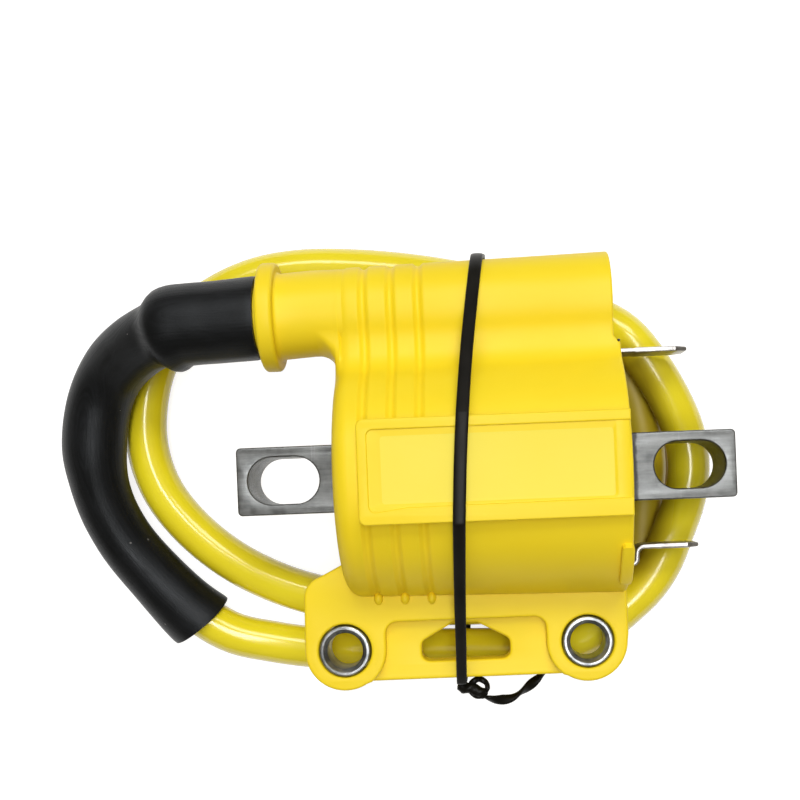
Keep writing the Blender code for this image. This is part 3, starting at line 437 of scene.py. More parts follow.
def add_line(curve: bpy.types.Curve, points: Sequence[Sequence[float]], closed: bool) -> None:
    """Add a straight-edged line through 3-D points to a curve.

    Args:
        curve: The curve that gets the line.
        points: Places of its points.
        closed: Whether its end joins its start.
    """
    spline = curve.splines.new("POLY")
    spline.points.add(len(points) - 1)
    spline.use_cyclic_u = closed
    for spot, place in zip(spline.points, points):
        spot.co = (*place, 1.0)


def plate(outline: Sequence[Point2], holes: Sequence[Sequence[Point2]], low: float, high: float,
          edge: float) -> BMesh:
    """A flat plate with holes and rounded edges, from a filled 2-D curve.

    Args:
        outline: Outer XY outline.
        holes: XY outlines of its holes.
        low: Height of its lower face.
        high: Height of its upper face.
        edge: Radius of all its edges.

    Returns:
        The mesh, in millimetres.
    """
    curve = bpy.data.curves.new("plate_outline", "CURVE")
    curve.dimensions = "2D"
    curve.fill_mode = "BOTH"
    curve.extrude = (high - low) / 2.0 - edge
    curve.bevel_depth = edge
    curve.bevel_resolution = 3
    curve.offset = -edge
    for loop in [outline, *holes]:
        add_line(curve, [(x, y, 0.0) for x, y in loop], True)
    carrier = put("plate_outline", curve)
    bpy.context.view_layer.update()
    shown = carrier.evaluated_get(bpy.context.evaluated_depsgraph_get())
    mesh = bpy.data.meshes.new_from_object(shown)
    bm = bmesh.new()
    bm.from_mesh(mesh)
    bpy.data.objects.remove(carrier)
    bpy.data.curves.remove(curve)
    bpy.data.meshes.remove(mesh)
    bmesh.ops.remove_doubles(bm, verts=bm.verts, dist=1e-3)
    bmesh.ops.translate(bm, vec=(0.0, 0.0, (low + high) / 2.0), verts=bm.verts)
    return bm


def merged(parts: Iterable[BMesh]) -> BMesh:
    """Put several meshes into one and free the originals.

    Args:
        parts: The meshes.

    Returns:
        The whole mesh.
    """
    whole = bmesh.new()
    for part in parts:
        carrier = bpy.data.meshes.new("merge_carrier")
        bmesh.ops.recalc_face_normals(part, faces=part.faces)
        part.to_mesh(carrier)
        part.free()
        whole.from_mesh(carrier)
        bpy.data.meshes.remove(carrier)
    return whole


def declare(piece: Object, replaced: Sequence[str]) -> Object:
    """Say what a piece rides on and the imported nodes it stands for.

    Args:
        piece: The piece.
        replaced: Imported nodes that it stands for.

    Returns:
        The same piece.
    """
    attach(piece, ROOT)
    if replaced:
        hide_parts(*replaced)
    return piece


def finish_piece(name: str, bm: BMesh, material: Material,
                 replaced: Sequence[str] = (), sharp: float = 30.0) -> Object:
    """Turn a mesh in millimetres into a piece that rides on the coil.

    Args:
        name: Name of the piece.
        bm: Its mesh, which is freed.
        material: Its finish.
        replaced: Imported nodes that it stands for.
        sharp: Angle in degrees past which an edge stays crisp.

    Returns:
        The new object.
    """
    bmesh.ops.recalc_face_normals(bm, faces=bm.faces)
    bmesh.ops.translate(bm, vec=ORIGIN_SHIFT, verts=bm.verts)
    bmesh.ops.scale(bm, vec=(MM, MM, MM), verts=bm.verts)
    mesh = bpy.data.meshes.new(name)
    bm.to_mesh(mesh)
    bm.free()
    mesh.shade_smooth()
    mesh.set_sharp_from_angle(angle=radians(sharp))
    mesh.materials.append(material)
    LOG.info("%s: %d faces", name, len(mesh.polygons))
    return declare(put(name, mesh), replaced)


# ---- Node wiring and shared surface effects ----
class Effect(Enum):
    """Surface effects that finishes share: name of the node group, defaults of its inputs."""

    GRAIN = ("moulded_grain", {"Scale": 4000.0})
    MOTTLE = ("soft_mottle", {"Scale": 100.0, "Contrast": 2.0})
    STREAKS = ("drawn_streaks", {"Scale": 3000.0, "Squeeze": (0.04, 1.0, 1.0)})
    SPECKS = ("stray_specks", {"Scale": 400.0, "Size": 0.1})


class Wiring:
    """Shorthand for building one node tree."""

    def __init__(self, tree: bpy.types.NodeTree) -> None:
        """Keep the tree that nodes go into."""
        self.tree = tree

    def add(self, kind: str, **settings: object) -> Node:
        """Add a node and set its properties.

        Args:
            kind: Name of the node type.
            **settings: Properties of the node.

        Returns:
            The node.
        """
        node = self.tree.nodes.new(kind)
        for key, value in settings.items():
            setattr(node, key, value)
        return node

    def feed(self, node: Node, values: dict[str | int, object]) -> None:
        """Link sockets to a node's inputs, or set plain values on them.

        Args:
            node: The node.
            values: Socket, number, vector or colour for each input, by its name or number.
        """
        for key, value in values.items():
            target = node.inputs[key]
            if isinstance(value, Socket):
                self.tree.links.new(value, target)
            else:
                target.default_value = (*value, 1.0) if target.type == "RGBA" else value

    def math(self, operation: str, first: object, second: object = 0.0,
             clamp: bool = False) -> Socket:
        """Add a Math node on sockets or numbers.

        Args:
            operation: Name of the operation.
            first: Socket or number.
            second: Socket or number.
            clamp: Keep the result between 0 and 1.

        Returns:
            The result's socket.
        """
        node = self.add("ShaderNodeMath", operation=operation, use_clamp=clamp)
        self.feed(node, {0: first, 1: second})
        return node.outputs[0]

    def spread(self, value: Socket, low: float, high: float, to_low: float,
               to_high: float) -> Socket:
        """Map a value from low..high to to_low..to_high, clamped.

        Args:
            value: The socket that is mapped.
            low: Start of its range.
            high: End of its range.
            to_low: Result at the start.
            to_high: Result at the end.

        Returns:
            The result's socket.
        """
        node = self.add("ShaderNodeMapRange", clamp=True)
        self.feed(node, {"Value": value, "From Min": low, "From Max": high,
                         "To Min": to_low, "To Max": to_high})
        return node.outputs["Result"]

    def mix(self, share: Socket, first: object, second: object) -> Socket:
        """Mix two colours or colour sockets by the share of the second.

        Args:
            share: Socket with the share of the second.
            first: Colour or socket.
            second: Colour or socket.

        Returns:
            The mixed colour's socket.
        """
        node = self.add("ShaderNodeMix", data_type="RGBA")
        self.feed(node, {"Factor": share, 6: first, 7: second})
        return node.outputs[2]

    def axes(self, place: Socket) -> tuple[Socket, ...]:
        """X, Y and Z of a position.

        Args:
            place: Socket of the position.

        Returns:
            The three sockets.
        """
        node = self.add("ShaderNodeSeparateXYZ")
        self.feed(node, {0: place})
        return tuple(node.outputs)

    def noise(self, place: Socket, scale: Socket, detail: float, roughness: float) -> Socket:
        """Value of a noise texture.

        Args:
            place: The position that it reads.
            scale: Its scale.
            detail: Its detail.
            roughness: Its roughness.

        Returns:
            The value's socket.
        """
        node = self.add("ShaderNodeTexNoise")
        self.feed(node, {"Vector": place, "Scale": scale, "Detail": detail,
                         "Roughness": roughness})
        return node.outputs["Fac"]

    def effect(self, effect: Effect, place: Socket, **inputs: object) -> Socket:
        """Put a shared effect into the tree.

        Args:
            effect: Which effect.
            place: The position that it reads.
            **inputs: Values for its other inputs, by their names in lower case.

        Returns:
            The socket of its result.
        """
        node = self.add("ShaderNodeGroup", node_tree=EFFECTS.group(effect))
        self.feed(node, {"Vector": place, **{key.title(): inputs[key] for key in inputs}})
        return node.outputs[0]

    def bump(self, shader: Node, height: Socket, depth_mm: float, strength: float) -> None:
        """Feed a height into a shader's normal.

        Args:
            shader: The shader node.
            height: Height socket, 1 being the full depth.
            depth_mm: Full depth in millimetres.
            strength: Share of the effect.
        """
        node = self.add("ShaderNodeBump")
        self.feed(node, {"Strength": strength, "Distance": depth_mm * MM, "Height": height})
        self.feed(shader, {"Normal": node.outputs["Normal"]})


class SurfaceEffects:
    """Builds each shared node group once."""

    def __init__(self) -> None:
        """Start with no group built."""
        self.groups: dict[Effect, bpy.types.NodeTree] = {}
        self.makers = {Effect.GRAIN: self._grain, Effect.MOTTLE: self._mottle,
                       Effect.STREAKS: self._streaks, Effect.SPECKS: self._specks}

    def group(self, effect: Effect) -> bpy.types.NodeTree:
        """The node group of an effect, built on first use.

        Args:
            effect: Which effect.

        Returns:
            Its node group.
        """
        if effect not in self.groups:
            name, defaults = effect.value
            tree = bpy.data.node_groups.new(name, "ShaderNodeTree")
            for key, default in {"Vector": (0.0, 0.0, 0.0), **defaults}.items():
                kind = "NodeSocketVector" if isinstance(default, tuple) else "NodeSocketFloat"
                socket = tree.interface.new_socket(name=key, in_out="INPUT", socket_type=kind)
                socket.default_value = default
            tree.interface.new_socket(name="Result", in_out="OUTPUT",
                                      socket_type="NodeSocketFloat")
            w = Wiring(tree)
            given = w.add("NodeGroupInput").outputs
            w.feed(w.add("NodeGroupOutput"), {"Result": self.makers[effect](w, given)})
            self.groups[effect] = tree
        return self.groups[effect]

    @staticmethod
    def _grain(w: Wiring, given: dict[str, Socket]) -> Socket:
        """Fine pebbled texture of a spark-eroded mould, as a height.

        Args:
            w: Wiring of the group.
            given: The group's inputs by name.

        Returns:
            The result's socket.
        """
        fine = w.noise(given["Vector"], given["Scale"], 3.0, 0.6)
        wide = w.noise(given["Vector"], w.math("MULTIPLY", given["Scale"], 0.12), 2.0, 0.5)
        return w.math("ADD", fine, w.math("MULTIPLY", wide, 1.6))

    @staticmethod
    def _mottle(w: Wiring, given: dict[str, Socket]) -> Socket:
        """Broad uneven patches between 0 and 1.

        Args:
            w: Wiring of the group.
            given: The group's inputs by name.

        Returns:
            The result's socket.
        """
        centred = w.math("SUBTRACT", w.noise(given["Vector"], given["Scale"], 5.0, 0.55), 0.5)
        return w.math("ADD", w.math("MULTIPLY", centred, given["Contrast"]), 0.5, clamp=True)

    @staticmethod
    def _streaks(w: Wiring, given: dict[str, Socket]) -> Socket:
        """Lines drawn along one direction, from a stretched noise.

        Args:
            w: Wiring of the group.
            given: The group's inputs by name.

        Returns:
            The result's socket.
        """
        squeeze = w.add("ShaderNodeVectorMath", operation="MULTIPLY")
        w.feed(squeeze, {0: given["Vector"], 1: given["Squeeze"]})
        drawn = w.noise(squeeze.outputs[0], given["Scale"], 6.0, 0.65)
        return w.spread(drawn, 0.32, 0.68, 0.0, 1.0)

    @staticmethod
    def _specks(w: Wiring, given: dict[str, Socket]) -> Socket:
        """Few small round specks, 1 inside a speck.

        Args:
            w: Wiring of the group.
            given: The group's inputs by name.

        Returns:
            The result's socket.
        """
        cells = w.add("ShaderNodeTexVoronoi", feature="F1")
        w.feed(cells, {"Vector": given["Vector"], "Scale": given["Scale"]})
        picker = w.add("ShaderNodeSeparateColor")
        w.feed(picker, {"Color": cells.outputs["Color"]})
        inside = w.math("LESS_THAN", cells.outputs["Distance"], given["Size"])
        return w.math("MULTIPLY", inside, w.math("GREATER_THAN", picker.outputs[0], 0.8))


EFFECTS = SurfaceEffects()


# ---- Finishes ----
@dataclass(frozen=True)
class Finish:
    """A named finish, which each kind wires in its own way."""

    name: str

    def wire(self, w: Wiring, shader: Node, place: Socket) -> None:
        """Wire the shader.

        Args:
            w: Wiring of the material.
            shader: Its Principled BSDF.
            place: Position on the object.
        """
        raise NotImplementedError

    def build(self) -> Material:
        """Make the material.

        Returns:
            The material.
        """
        material = bpy.data.materials.new(self.name)
        material.use_nodes = True
        w = Wiring(material.node_tree)
        place = w.add("ShaderNodeTexCoord").outputs["Object"]
        self.wire(w, material.node_tree.nodes["Principled BSDF"], place)
        return material


@dataclass(frozen=True)
class MouldedYellow(Finish):
    """Satin yellow polyamide of the case, slightly uneven, with a fine mould grain."""

    bright: Point3 = (0.930, 0.718, 0.017)
    deep: Point3 = (0.910, 0.672, 0.010)
    scuff: Point3 = (0.950, 0.765, 0.055)
    roughness: Point2 = (0.42, 0.52)
    grain_mm: float = 0.008

    def wire(self, w: Wiring, shader: Node, place: Socket) -> None:
        """Wire patches, flow lines and grain.

        Args:
            w: Wiring of the material.
            shader: Its Principled BSDF.
            place: Position on the object.
        """
        patches = w.effect(Effect.MOTTLE, place, scale=55.0, contrast=1.6)
        flow = w.effect(Effect.STREAKS, place, squeeze=(0.25, 1.0, 1.0), scale=260.0)
        base = w.mix(patches, self.bright, self.deep)
        w.feed(shader, {"Base Color": w.mix(w.math("MULTIPLY", flow, 0.12), base, self.scuff),
                        "Roughness": w.spread(patches, 0.0, 1.0, *self.roughness),
                        "IOR": 1.45, "Specular IOR Level": 0.38})
        w.bump(shader, w.effect(Effect.GRAIN, place, scale=4200.0), self.grain_mm, 0.5)


@dataclass(frozen=True)
class SiliconeLead(Finish):
    """Glossy yellow silicone jacket, with painted shade on the strands beside the case's open end.
    """

    bright: Point3 = (0.880, 0.755, 0.024)
    deep: Point3 = (0.820, 0.675, 0.015)
    # dark brown colour of the painted shade on the strands beside the case's open end
    film: Point3 = (0.300, 0.180, 0.005)
    strand_shade_start_mm: Point2 = (20.0, 24.0)
    strand_shade_end_mm: Point2 = (33.2, 36.2)
    strand_shade_half_mm: Point2 = (16.0, 22.0)
    strand_shade_bow: float = 15.0

    def strand_shade_mask(self, w: Wiring, place: Socket) -> Socket:
        """Mask of the painted shade on the strands beside the open end: 1 on it and 0 elsewhere.

        Args:
            w: Wiring of the material.
            place: Position on the object.

        Returns:
            The mask's socket.
        """
        x, y, _ = w.axes(place)
        start, end, half = ((low * MM, high * MM) for low, high in
                            (self.strand_shade_start_mm, self.strand_shade_end_mm, self.strand_shade_half_mm))
        across = w.math("ABSOLUTE", y)
        bow = w.math("MULTIPLY", w.math("MULTIPLY", across, across), self.strand_shade_bow)
        near = w.math("MULTIPLY", w.spread(x, *start, 0.0, 1.0),
                      w.spread(w.math("ADD", x, bow), *end, 1.0, 0.0))
        return w.math("MULTIPLY", near, w.spread(across, *half, 1.0, 0.0))

    def wire(self, w: Wiring, shader: Node, place: Socket) -> None:
        """Wire patches, the painted shade and a faint ripple.

        Args:
            w: Wiring of the material.
            shader: Its Principled BSDF.
            place: Position on the object.
        """
        patches = w.effect(Effect.MOTTLE, place, scale=90.0, contrast=2.0)
        # painted shade: beside the case's open end the strands turn dark brown and rougher, and
        # lose their coat
        film = self.strand_shade_mask(w, place)
        clean = w.mix(patches, self.bright, self.deep)
        gloss = w.spread(patches, 0.0, 1.0, 0.15, 0.22)
        w.feed(shader, {"Base Color": w.mix(w.math("MULTIPLY", film, 0.65), clean, self.film),
                        "Roughness": w.math("ADD", gloss, w.math("MULTIPLY", film, 0.28)),
                        "Coat Weight": w.spread(film, 0.0, 1.0, 0.35, 0.0),
                        "IOR": 1.46, "Coat Roughness": 0.10})
        w.bump(shader, w.effect(Effect.GRAIN, place, scale=600.0), 0.012, 0.3)


@dataclass(frozen=True)
class SleeveRubber(Finish):
    """Near-black rubber sleeve with faint rubbed streaks and dust."""

    dark: Point3 = (0.0018, 0.0024, 0.0030)
    rubbed: Point3 = (0.009, 0.010, 0.012)
    dust: Point3 = (0.32, 0.31, 0.30)

    def wire(self, w: Wiring, shader: Node, place: Socket) -> None:
        """Wire streaks that follow the sleeve's own UV map, patches and dust.

        Args:
            w: Wiring of the material.
            shader: Its Principled BSDF.
            place: Position on the object.
        """
        along = w.add("ShaderNodeUVMap", uv_map="along").outputs["UV"]
        streaks = w.effect(Effect.STREAKS, along, squeeze=(0.05, 1.0, 1.0), scale=22.0)
        patches = w.effect(Effect.MOTTLE, place, scale=160.0, contrast=2.5)
        specks = w.effect(Effect.SPECKS, place, scale=420.0, size=0.07)
        base = w.mix(w.math("MULTIPLY", streaks, patches), self.dark, self.rubbed)
        w.feed(shader, {"Base Color": w.mix(w.math("MULTIPLY", specks, 0.35), base, self.dust),
                        "Roughness": w.spread(streaks, 0.0, 1.0, 0.34, 0.52),
                        "Specular IOR Level": 0.24, "Specular Tint": (0.92, 0.96, 1.0)})
        grain = w.effect(Effect.GRAIN, place, scale=2600.0)
        w.bump(shader, w.math("ADD", grain, w.math("MULTIPLY", streaks, 1.4)), 0.02, 0.5)


@dataclass(frozen=True)
class PressedSteel(Finish):
    """Pressed silicon steel of the core: drawn grey faces, scratched, with painted shade beside
    the case's rim.
    """

    dull: Point3 = (0.100, 0.105, 0.105)
    bright: Point3 = (0.245, 0.253, 0.253)
    scratched: Point3 = (0.70, 0.71, 0.72)
    # near-black colour of the painted shade on the core beside the case's rim
    rim_shade: Point3 = (0.012, 0.011, 0.010)
    rim_shade_mm: Point2 = (12.0, 27.15)
    rim_shade_fade_mm: Point2 = (1.0, 0.35)

    def wire(self, w: Wiring, shader: Node, place: Socket) -> None:
        """Wire drawn lines, clouds, scratches and the painted shade at the rim with its ragged
        edge.

        Args:
            w: Wiring of the material.
            shader: Its Principled BSDF.
            place: Position on the object.
        """
        drawn = w.effect(Effect.STREAKS, place, squeeze=(0.10, 1.0, 1.0), scale=1500.0)
        cloudy = w.effect(Effect.MOTTLE, place, scale=420.0, contrast=3.0)
        scratch = w.effect(Effect.STREAKS, place, squeeze=(1.0, 0.04, 1.0), scale=900.0)
        tone = w.math("ADD", w.math("MULTIPLY", drawn, 0.5), w.math("MULTIPLY", cloudy, 0.5))
        base = w.mix(tone, self.dull, self.bright)
        marked = w.mix(w.spread(scratch, 0.85, 1.0, 0.0, 0.10), base, self.scratched)
        # painted shade: a near-black, non-metallic band along the core up to just past the case's
        # rim, where the case shades it
        x, _, _ = w.axes(place)
        ragged = w.math("ADD", x, w.math("MULTIPLY", cloudy, 0.0004))
        (start, end), (rise, fall) = self.rim_shade_mm, self.rim_shade_fade_mm
        past = w.spread(x, (start - rise) * MM, start * MM, 0.0, 1.0)
        before = w.spread(ragged, end * MM, (end + fall) * MM, 1.0, 0.0)
        rim_shaded = w.math("MULTIPLY", past, before)
        w.feed(shader, {"Base Color": w.mix(rim_shaded, marked, self.rim_shade),
                        "Metallic": w.spread(rim_shaded, 0.0, 1.0, 1.0, 0.0),
                        "Roughness": w.spread(cloudy, 0.0, 1.0, 0.32, 0.50)})
        w.bump(shader, w.math("ADD", drawn, scratch), 0.008, 0.6)


@dataclass(frozen=True)
class PlatedSteel(Finish):
    """Plating or bare metal: zinc on the bushings, tin on the blades, brass of the contact."""

    colour: Point3
    shade: Point3
    roughness: Point2 = (0.16, 0.34)
    squeeze: Point3 = (1.0, 1.0, 0.15)
    scale: float = 900.0

    def wire(self, w: Wiring, shader: Node, place: Socket) -> None:
        """Wire patches and drawn lines.

        Args:
            w: Wiring of the material.
            shader: Its Principled BSDF.
            place: Position on the object.
        """
        patches = w.effect(Effect.MOTTLE, place, scale=self.scale, contrast=3.2)
        drawn = w.effect(Effect.STREAKS, place, squeeze=self.squeeze, scale=self.scale * 2.0)
        w.feed(shader, {"Base Color": w.mix(patches, self.colour, self.shade), "Metallic": 1.0,
                        "Roughness": w.spread(drawn, 0.0, 1.0, *self.roughness)})
        w.bump(shader, drawn, 0.006, 0.5)


@dataclass(frozen=True)
class SatinPlastic(Finish):
    """Plain satin plastic, resin or film, with its own colours, gloss and grain."""

    colour: Point3
    variant: Point3
    roughness: Point2 = (0.35, 0.5)
    grain_mm: float = 0.01
    coat: float = 0.0
    gloss: float = 0.5

    def wire(self, w: Wiring, shader: Node, place: Socket) -> None:
        """Wire patches and grain.

        Args:
            w: Wiring of the material.
            shader: Its Principled BSDF.
            place: Position on the object.
        """
        patches = w.effect(Effect.MOTTLE, place, scale=240.0, contrast=2.2)
        w.feed(shader, {"Base Color": w.mix(patches, self.colour, self.variant),
                        "Roughness": w.spread(patches, 0.0, 1.0, *self.roughness),
                        "Coat Weight": self.coat, "Specular IOR Level": self.gloss,
                        "Coat Roughness": 0.1})
        w.bump(shader, w.effect(Effect.GRAIN, place, scale=3000.0), self.grain_mm, 0.5)


@dataclass(frozen=True)
class WoundWire(Finish):
    """Enamelled copper, with the turns of the winding as fine ridges along X and painted shade in
    the valleys between them.
    """

    crest: Point3 = (0.62, 0.25, 0.10)
    valley_shade: Point3 = (0.31, 0.125, 0.05)
    pitch_mm: float = 0.3

    def wire(self, w: Wiring, shader: Node, place: Socket) -> None:
        """Wire the ridges and the painted shade between them.

        Args:
            w: Wiring of the material.
            shader: Its Principled BSDF.
            place: Position on the object.
        """
        x, _, _ = w.axes(place)
        turns = w.math("SINE", w.math("MULTIPLY", x, 2.0 * pi / (self.pitch_mm * MM)))
        height = w.spread(turns, -1.0, 1.0, 0.0, 1.0)
        # painted shade: the valleys between the turns are coloured half as bright as the crests
        w.feed(shader, {"Base Color": w.mix(height, self.valley_shade, self.crest),
                        "Metallic": 0.85, "Roughness": 0.3})
        w.bump(shader, height, 0.1, 0.7)


@dataclass(frozen=True)
class TableWhite(Finish):
    """White table, glowing to the camera, with painted shadow under the coil: a dark base colour
    and a dim brown glow.
    """

    # area of the painted shadow under the coil
    floor_shade_middle: Point2 = (4.0, 0.0)
    floor_shade_reach: Point2 = (33.0, 26.0)
    floor_shade_left: float = -16.0
    glow_run_m2: Point2 = (0.04, 0.25)
    glow: Point2 = (0.84, 1.0)

    def wire(self, w: Wiring, shader: Node, place: Socket) -> None:
        """Wire the table's colour and glow, with the mask of the painted shadow under the coil.

        Args:
            w: Wiring of the material.
            shader: Its Principled BSDF.
            place: Position on the object.
        """
        x, y, _ = w.axes(place)
        total: object = 0.0
        for axis, middle, reach in zip((x, y), self.floor_shade_middle, self.floor_shade_reach):
            share = w.math("DIVIDE", w.math("SUBTRACT", axis, middle * MM), reach * MM)
            total = w.math("ADD", w.math("POWER", w.math("ABSOLUTE", share), 2.0), total)
        floor_shade = w.math("MULTIPLY", w.spread(total, 0.90, 1.0, 1.0, 0.0),
                         w.spread(x, (self.floor_shade_left - 1.0) * MM, self.floor_shade_left * MM, 0.0, 1.0))
        seen = w.add("ShaderNodeLightPath").outputs
        glow = w.math("MAXIMUM", seen["Is Camera Ray"], seen["Is Glossy Ray"])
        away = w.math("ADD", w.math("POWER", x, 2.0), w.math("POWER", y, 2.0))
        glow = w.math("MULTIPLY", glow, w.spread(away, *self.glow_run_m2, *self.glow))
        # painted shadow under the coil: dark brown base colour, and a dim brown glow as painted
        # warm bounce light
        w.feed(shader, {"Base Color": w.mix(floor_shade, (0.42, 0.42, 0.42), (0.06, 0.042, 0.012)),
                        "Emission Color": w.mix(floor_shade, (1.0, 1.0, 1.0), (0.13, 0.085, 0.02)),
                        "Emission Strength": glow, "Roughness": 0.9})


FINISHES: dict[str, Finish] = {
    "case": MouldedYellow("case_yellow_moulded"),
    "panel": MouldedYellow("case_yellow_panel", (0.905, 0.755, 0.075), (0.895, 0.740, 0.060),
                           (0.915, 0.770, 0.090), (0.50, 0.58), 0.003),
    "lead": SiliconeLead("lead_silicone"),
    "sleeve": SleeveRubber("sleeve_rubber"),
    "core": PressedSteel("core_pressed_steel"),
    "zinc": PlatedSteel("bushing_zinc", (0.40, 0.415, 0.42), (0.16, 0.17, 0.18), (0.28, 0.40),
                        scale=330.0),
    "tin": PlatedSteel("blade_tin", (0.46, 0.455, 0.445), (0.28, 0.27, 0.26), (0.28, 0.42),
                       (0.1, 1.0, 1.0), 500.0),
    "brass": PlatedSteel("contact_brass", (0.72, 0.50, 0.18), (0.60, 0.38, 0.12)),
    "copper": WoundWire("enamelled_copper"),
    "bobbin": SatinPlastic("bobbin_nylon", (0.70, 0.66, 0.55), (0.60, 0.55, 0.44)),
    "wrap": SatinPlastic("wrap_film", (0.72, 0.45, 0.12), (0.60, 0.36, 0.08), (0.15, 0.25),
                         0.004, 0.4),
    "resin": SatinPlastic("potting_resin_dark", (0.012, 0.012, 0.014), (0.022, 0.021, 0.020),
                          (0.18, 0.32), 0.02, 0.3),
    "tie": SatinPlastic("tie_black", (0.003, 0.0025, 0.0015), (0.007, 0.006, 0.004),
                        (0.34, 0.46), 0.006, gloss=0.15),
}


# ---- Case ----
@dataclass
class CaseShell:
    """Yellow moulding: cylinder and barrel in one skin, open at its right end."""

    finish: Material
    edge_r: float = 2.5
    wall_left: float = 2.0
    groove_width: float = 1.7
    groove_depth: float = 0.50
    lip_r: float = 0.35
    lip_start: float = 20.25
    resin_x: float = 19.0
    barrel_inset: float = 0.15
    neck_y: Point2 = (15.5, 20.5)
    step_y: Point2 = (18.6, 19.8)
    step_x: float = 14.0
    crown_z: float = 36.6
    crown_half_y: float = 6.6
    crown_x: Point2 = (-16.6, 20.0)
    round_back: float = 6.0

    def outline(self, main_r: float, barrel_r: float, valley_r: float, inset: float,
                flat: bool) -> list[Point2]:
        """YZ outline of cylinder, valleys and barrel.

        Args:
            main_r: Radius of the cylinder.
            barrel_r: Radius of the barrel.
            valley_r: Radius of the concave fillets between them.
            inset: How far the outline is drawn in.
            flat: Whether the back is flat, or a full round.

        Returns:
            The outline's points, always equally many.
        """
        rise = SIZES.barrel_z - SIZES.core_z
        span = hypot(SIZES.barrel_y, rise)
        tilt = degrees(atan2(rise, SIZES.barrel_y))
        main_reach, barrel_reach = main_r + valley_r, barrel_r + valley_r
        along = (main_reach ** 2 - barrel_reach ** 2 + span ** 2) / (2.0 * span)
        across = sqrt(main_reach ** 2 - along ** 2)
        main_turn = degrees(atan2(across, along))
        barrel_turn = degrees(atan2(across, along - span))
        radius = main_r - inset
        depth = SIZES.core_z - SIZES.back_z - inset
        back = degrees(acos(min(depth / radius, 1.0))) if flat else self.round_back
        axis = Vector((cos(radians(tilt)), sin(radians(tilt))))
        normal = Vector((-axis.y, axis.x))
        main, barrel = (0.0, SIZES.core_z), (SIZES.barrel_y, SIZES.barrel_z)
        front = Vector(main) + axis * along + normal * across
        rear = Vector(main) + axis * along - normal * across
        points = arc(main, radius, tilt + main_turn, 270.0 - back, 90)
        points += arc(main, radius, 270.0 + back, 360.0 + tilt - main_turn, 22)
        points += arc(rear, valley_r + inset, tilt + 180.0 - main_turn,
                      tilt + 180.0 - barrel_turn, 14)[1:]
        points += arc(barrel, barrel_r - inset, tilt - barrel_turn, tilt + barrel_turn, 52)[1:]
        points += arc(front, valley_r + inset, tilt + 180.0 + barrel_turn,
                      tilt + 180.0 + main_turn, 14)[1:-1]
        return points

    def inset_at(self, x: float) -> float:
        """How far the skin is drawn in at x: rounded left end and grooves.

        Args:
            x: Place along the case.

        Returns:
            The depth in millimetres.
        """
        inset = 0.0
        if x < SIZES.case_left + self.edge_r:
            reach = (SIZES.case_left + self.edge_r - x) / self.edge_r
            inset = self.edge_r * (1.0 - sqrt(max(0.0, 1.0 - reach * reach)))
        for middle in SIZES.grooves:
            across = min(1.0, abs(x - middle) * 2.0 / self.groove_width)
            swell = 0.5 * (1.0 + cos(pi * across))
            inset = max(inset, self.groove_depth * swell ** 0.7)
        return inset

    def local_inset(self, inset: float, y: float) -> float:
        """The barrel isn't rounded at the closed end, where the neck carries it on.

        Args:
            inset: Depth for the whole ring.
            y: Place on the ring.

        Returns:
            The depth at that place.
        """
        if inset <= self.groove_depth:
            return inset
        return mix(inset, self.barrel_inset, blend_step(y, *self.neck_y))

    def stations(self) -> list[float]:
        """X stations of the outer skin, close together where it curves.

        Returns:
            The rising X values.
        """
        xs = [SIZES.case_left + self.edge_r * (1.0 - cos(radians(a))) for a in range(0, 91, 9)]
        half = self.groove_width / 2.0
        for middle in SIZES.grooves:
            xs += [middle - half - 0.2, middle + half + 0.2]
            xs += [middle + half * step / 8.0 for step in range(-8, 9)]
        return sorted([*xs, -7.0, 0.0, 8.0, 14.0, 18.0, self.lip_start])

    def step_back(self, y: float) -> float:
        """How far the barrel's end stands back at y."""
        return SIZES.barrel_step * blend_step(y, *self.step_y)

    def ring(self, x: float, inset: float) -> list[Vector]:
        """Outer ring at x, whose barrel part stands back near the open end.

        Args:
            x: Place along the case.
            inset: How far the skin is drawn in there.

        Returns:
            The ring's points.
        """
        plain, drawn = (self.outline(SIZES.radius_at(SIZES.case_r, x),
                                     SIZES.radius_at(SIZES.barrel_r, x), SIZES.valley_r, depth,
                                     True) for depth in (0.0, max(inset, 1e-3)))
        near = blend_step(x, self.step_x, self.lip_start)
        flat = blend_step(x, self.crown_x[0] - 1.0, self.crown_x[0])
        flat *= 1.0 - blend_step(x, self.crown_x[1], self.crown_x[1] + 0.5)
        ring = []
        for first, last in zip(plain, drawn):
            y, z = mix_pair(first, last, self.local_inset(inset, first[0]) / max(inset, 1e-3))
            if z > self.crown_z and abs(y) < self.crown_half_y:
                z = mix(z, self.crown_z, flat)
            ring.append(Vector((x - self.step_back(y) * near, y, z)))
        return ring

    def inner_ring(self, x: float, grow: float = 0.0) -> list[Vector]:
        """Cavity ring at x with the same number of points.

        Args:
            x: Place along the case.
            grow: How much wider than the cavity.

        Returns:
            The ring's points.
        """
        near = blend_step(x, self.step_x, 20.0)
        return [Vector((x - self.step_back(y) * near, y, z)) for y, z in
                self.outline(SIZES.cavity_r + grow, SIZES.barrel_cavity_r + grow,
                             SIZES.inner_valley_r - grow, 0.0, False)]

    def build(self) -> Object:
        """Make the shell: outer skin, rounded lip, cavity.

        Returns:
            The piece.
        """
        right, lip = SIZES.case_right, self.lip_r
        turns = [radians(angle) for angle in range(0, 91, 18)]
        rings = [self.ring(x, self.inset_at(x)) for x in self.stations()]
        rings += [self.ring(right - lip + lip * sin(t), lip * (1.0 - cos(t))) for t in turns]
        rings += [self.inner_ring(right - lip * (1.0 - cos(t)), lip * (1.0 - sin(t)))
                  for t in turns]
        rings += [self.inner_ring(x) for x in (self.resin_x - 1.0, 8.0,
                                               SIZES.case_left + self.wall_left)]
        return finish_piece("case_shell", skin(rings), self.finish, ["case"], 32.0)


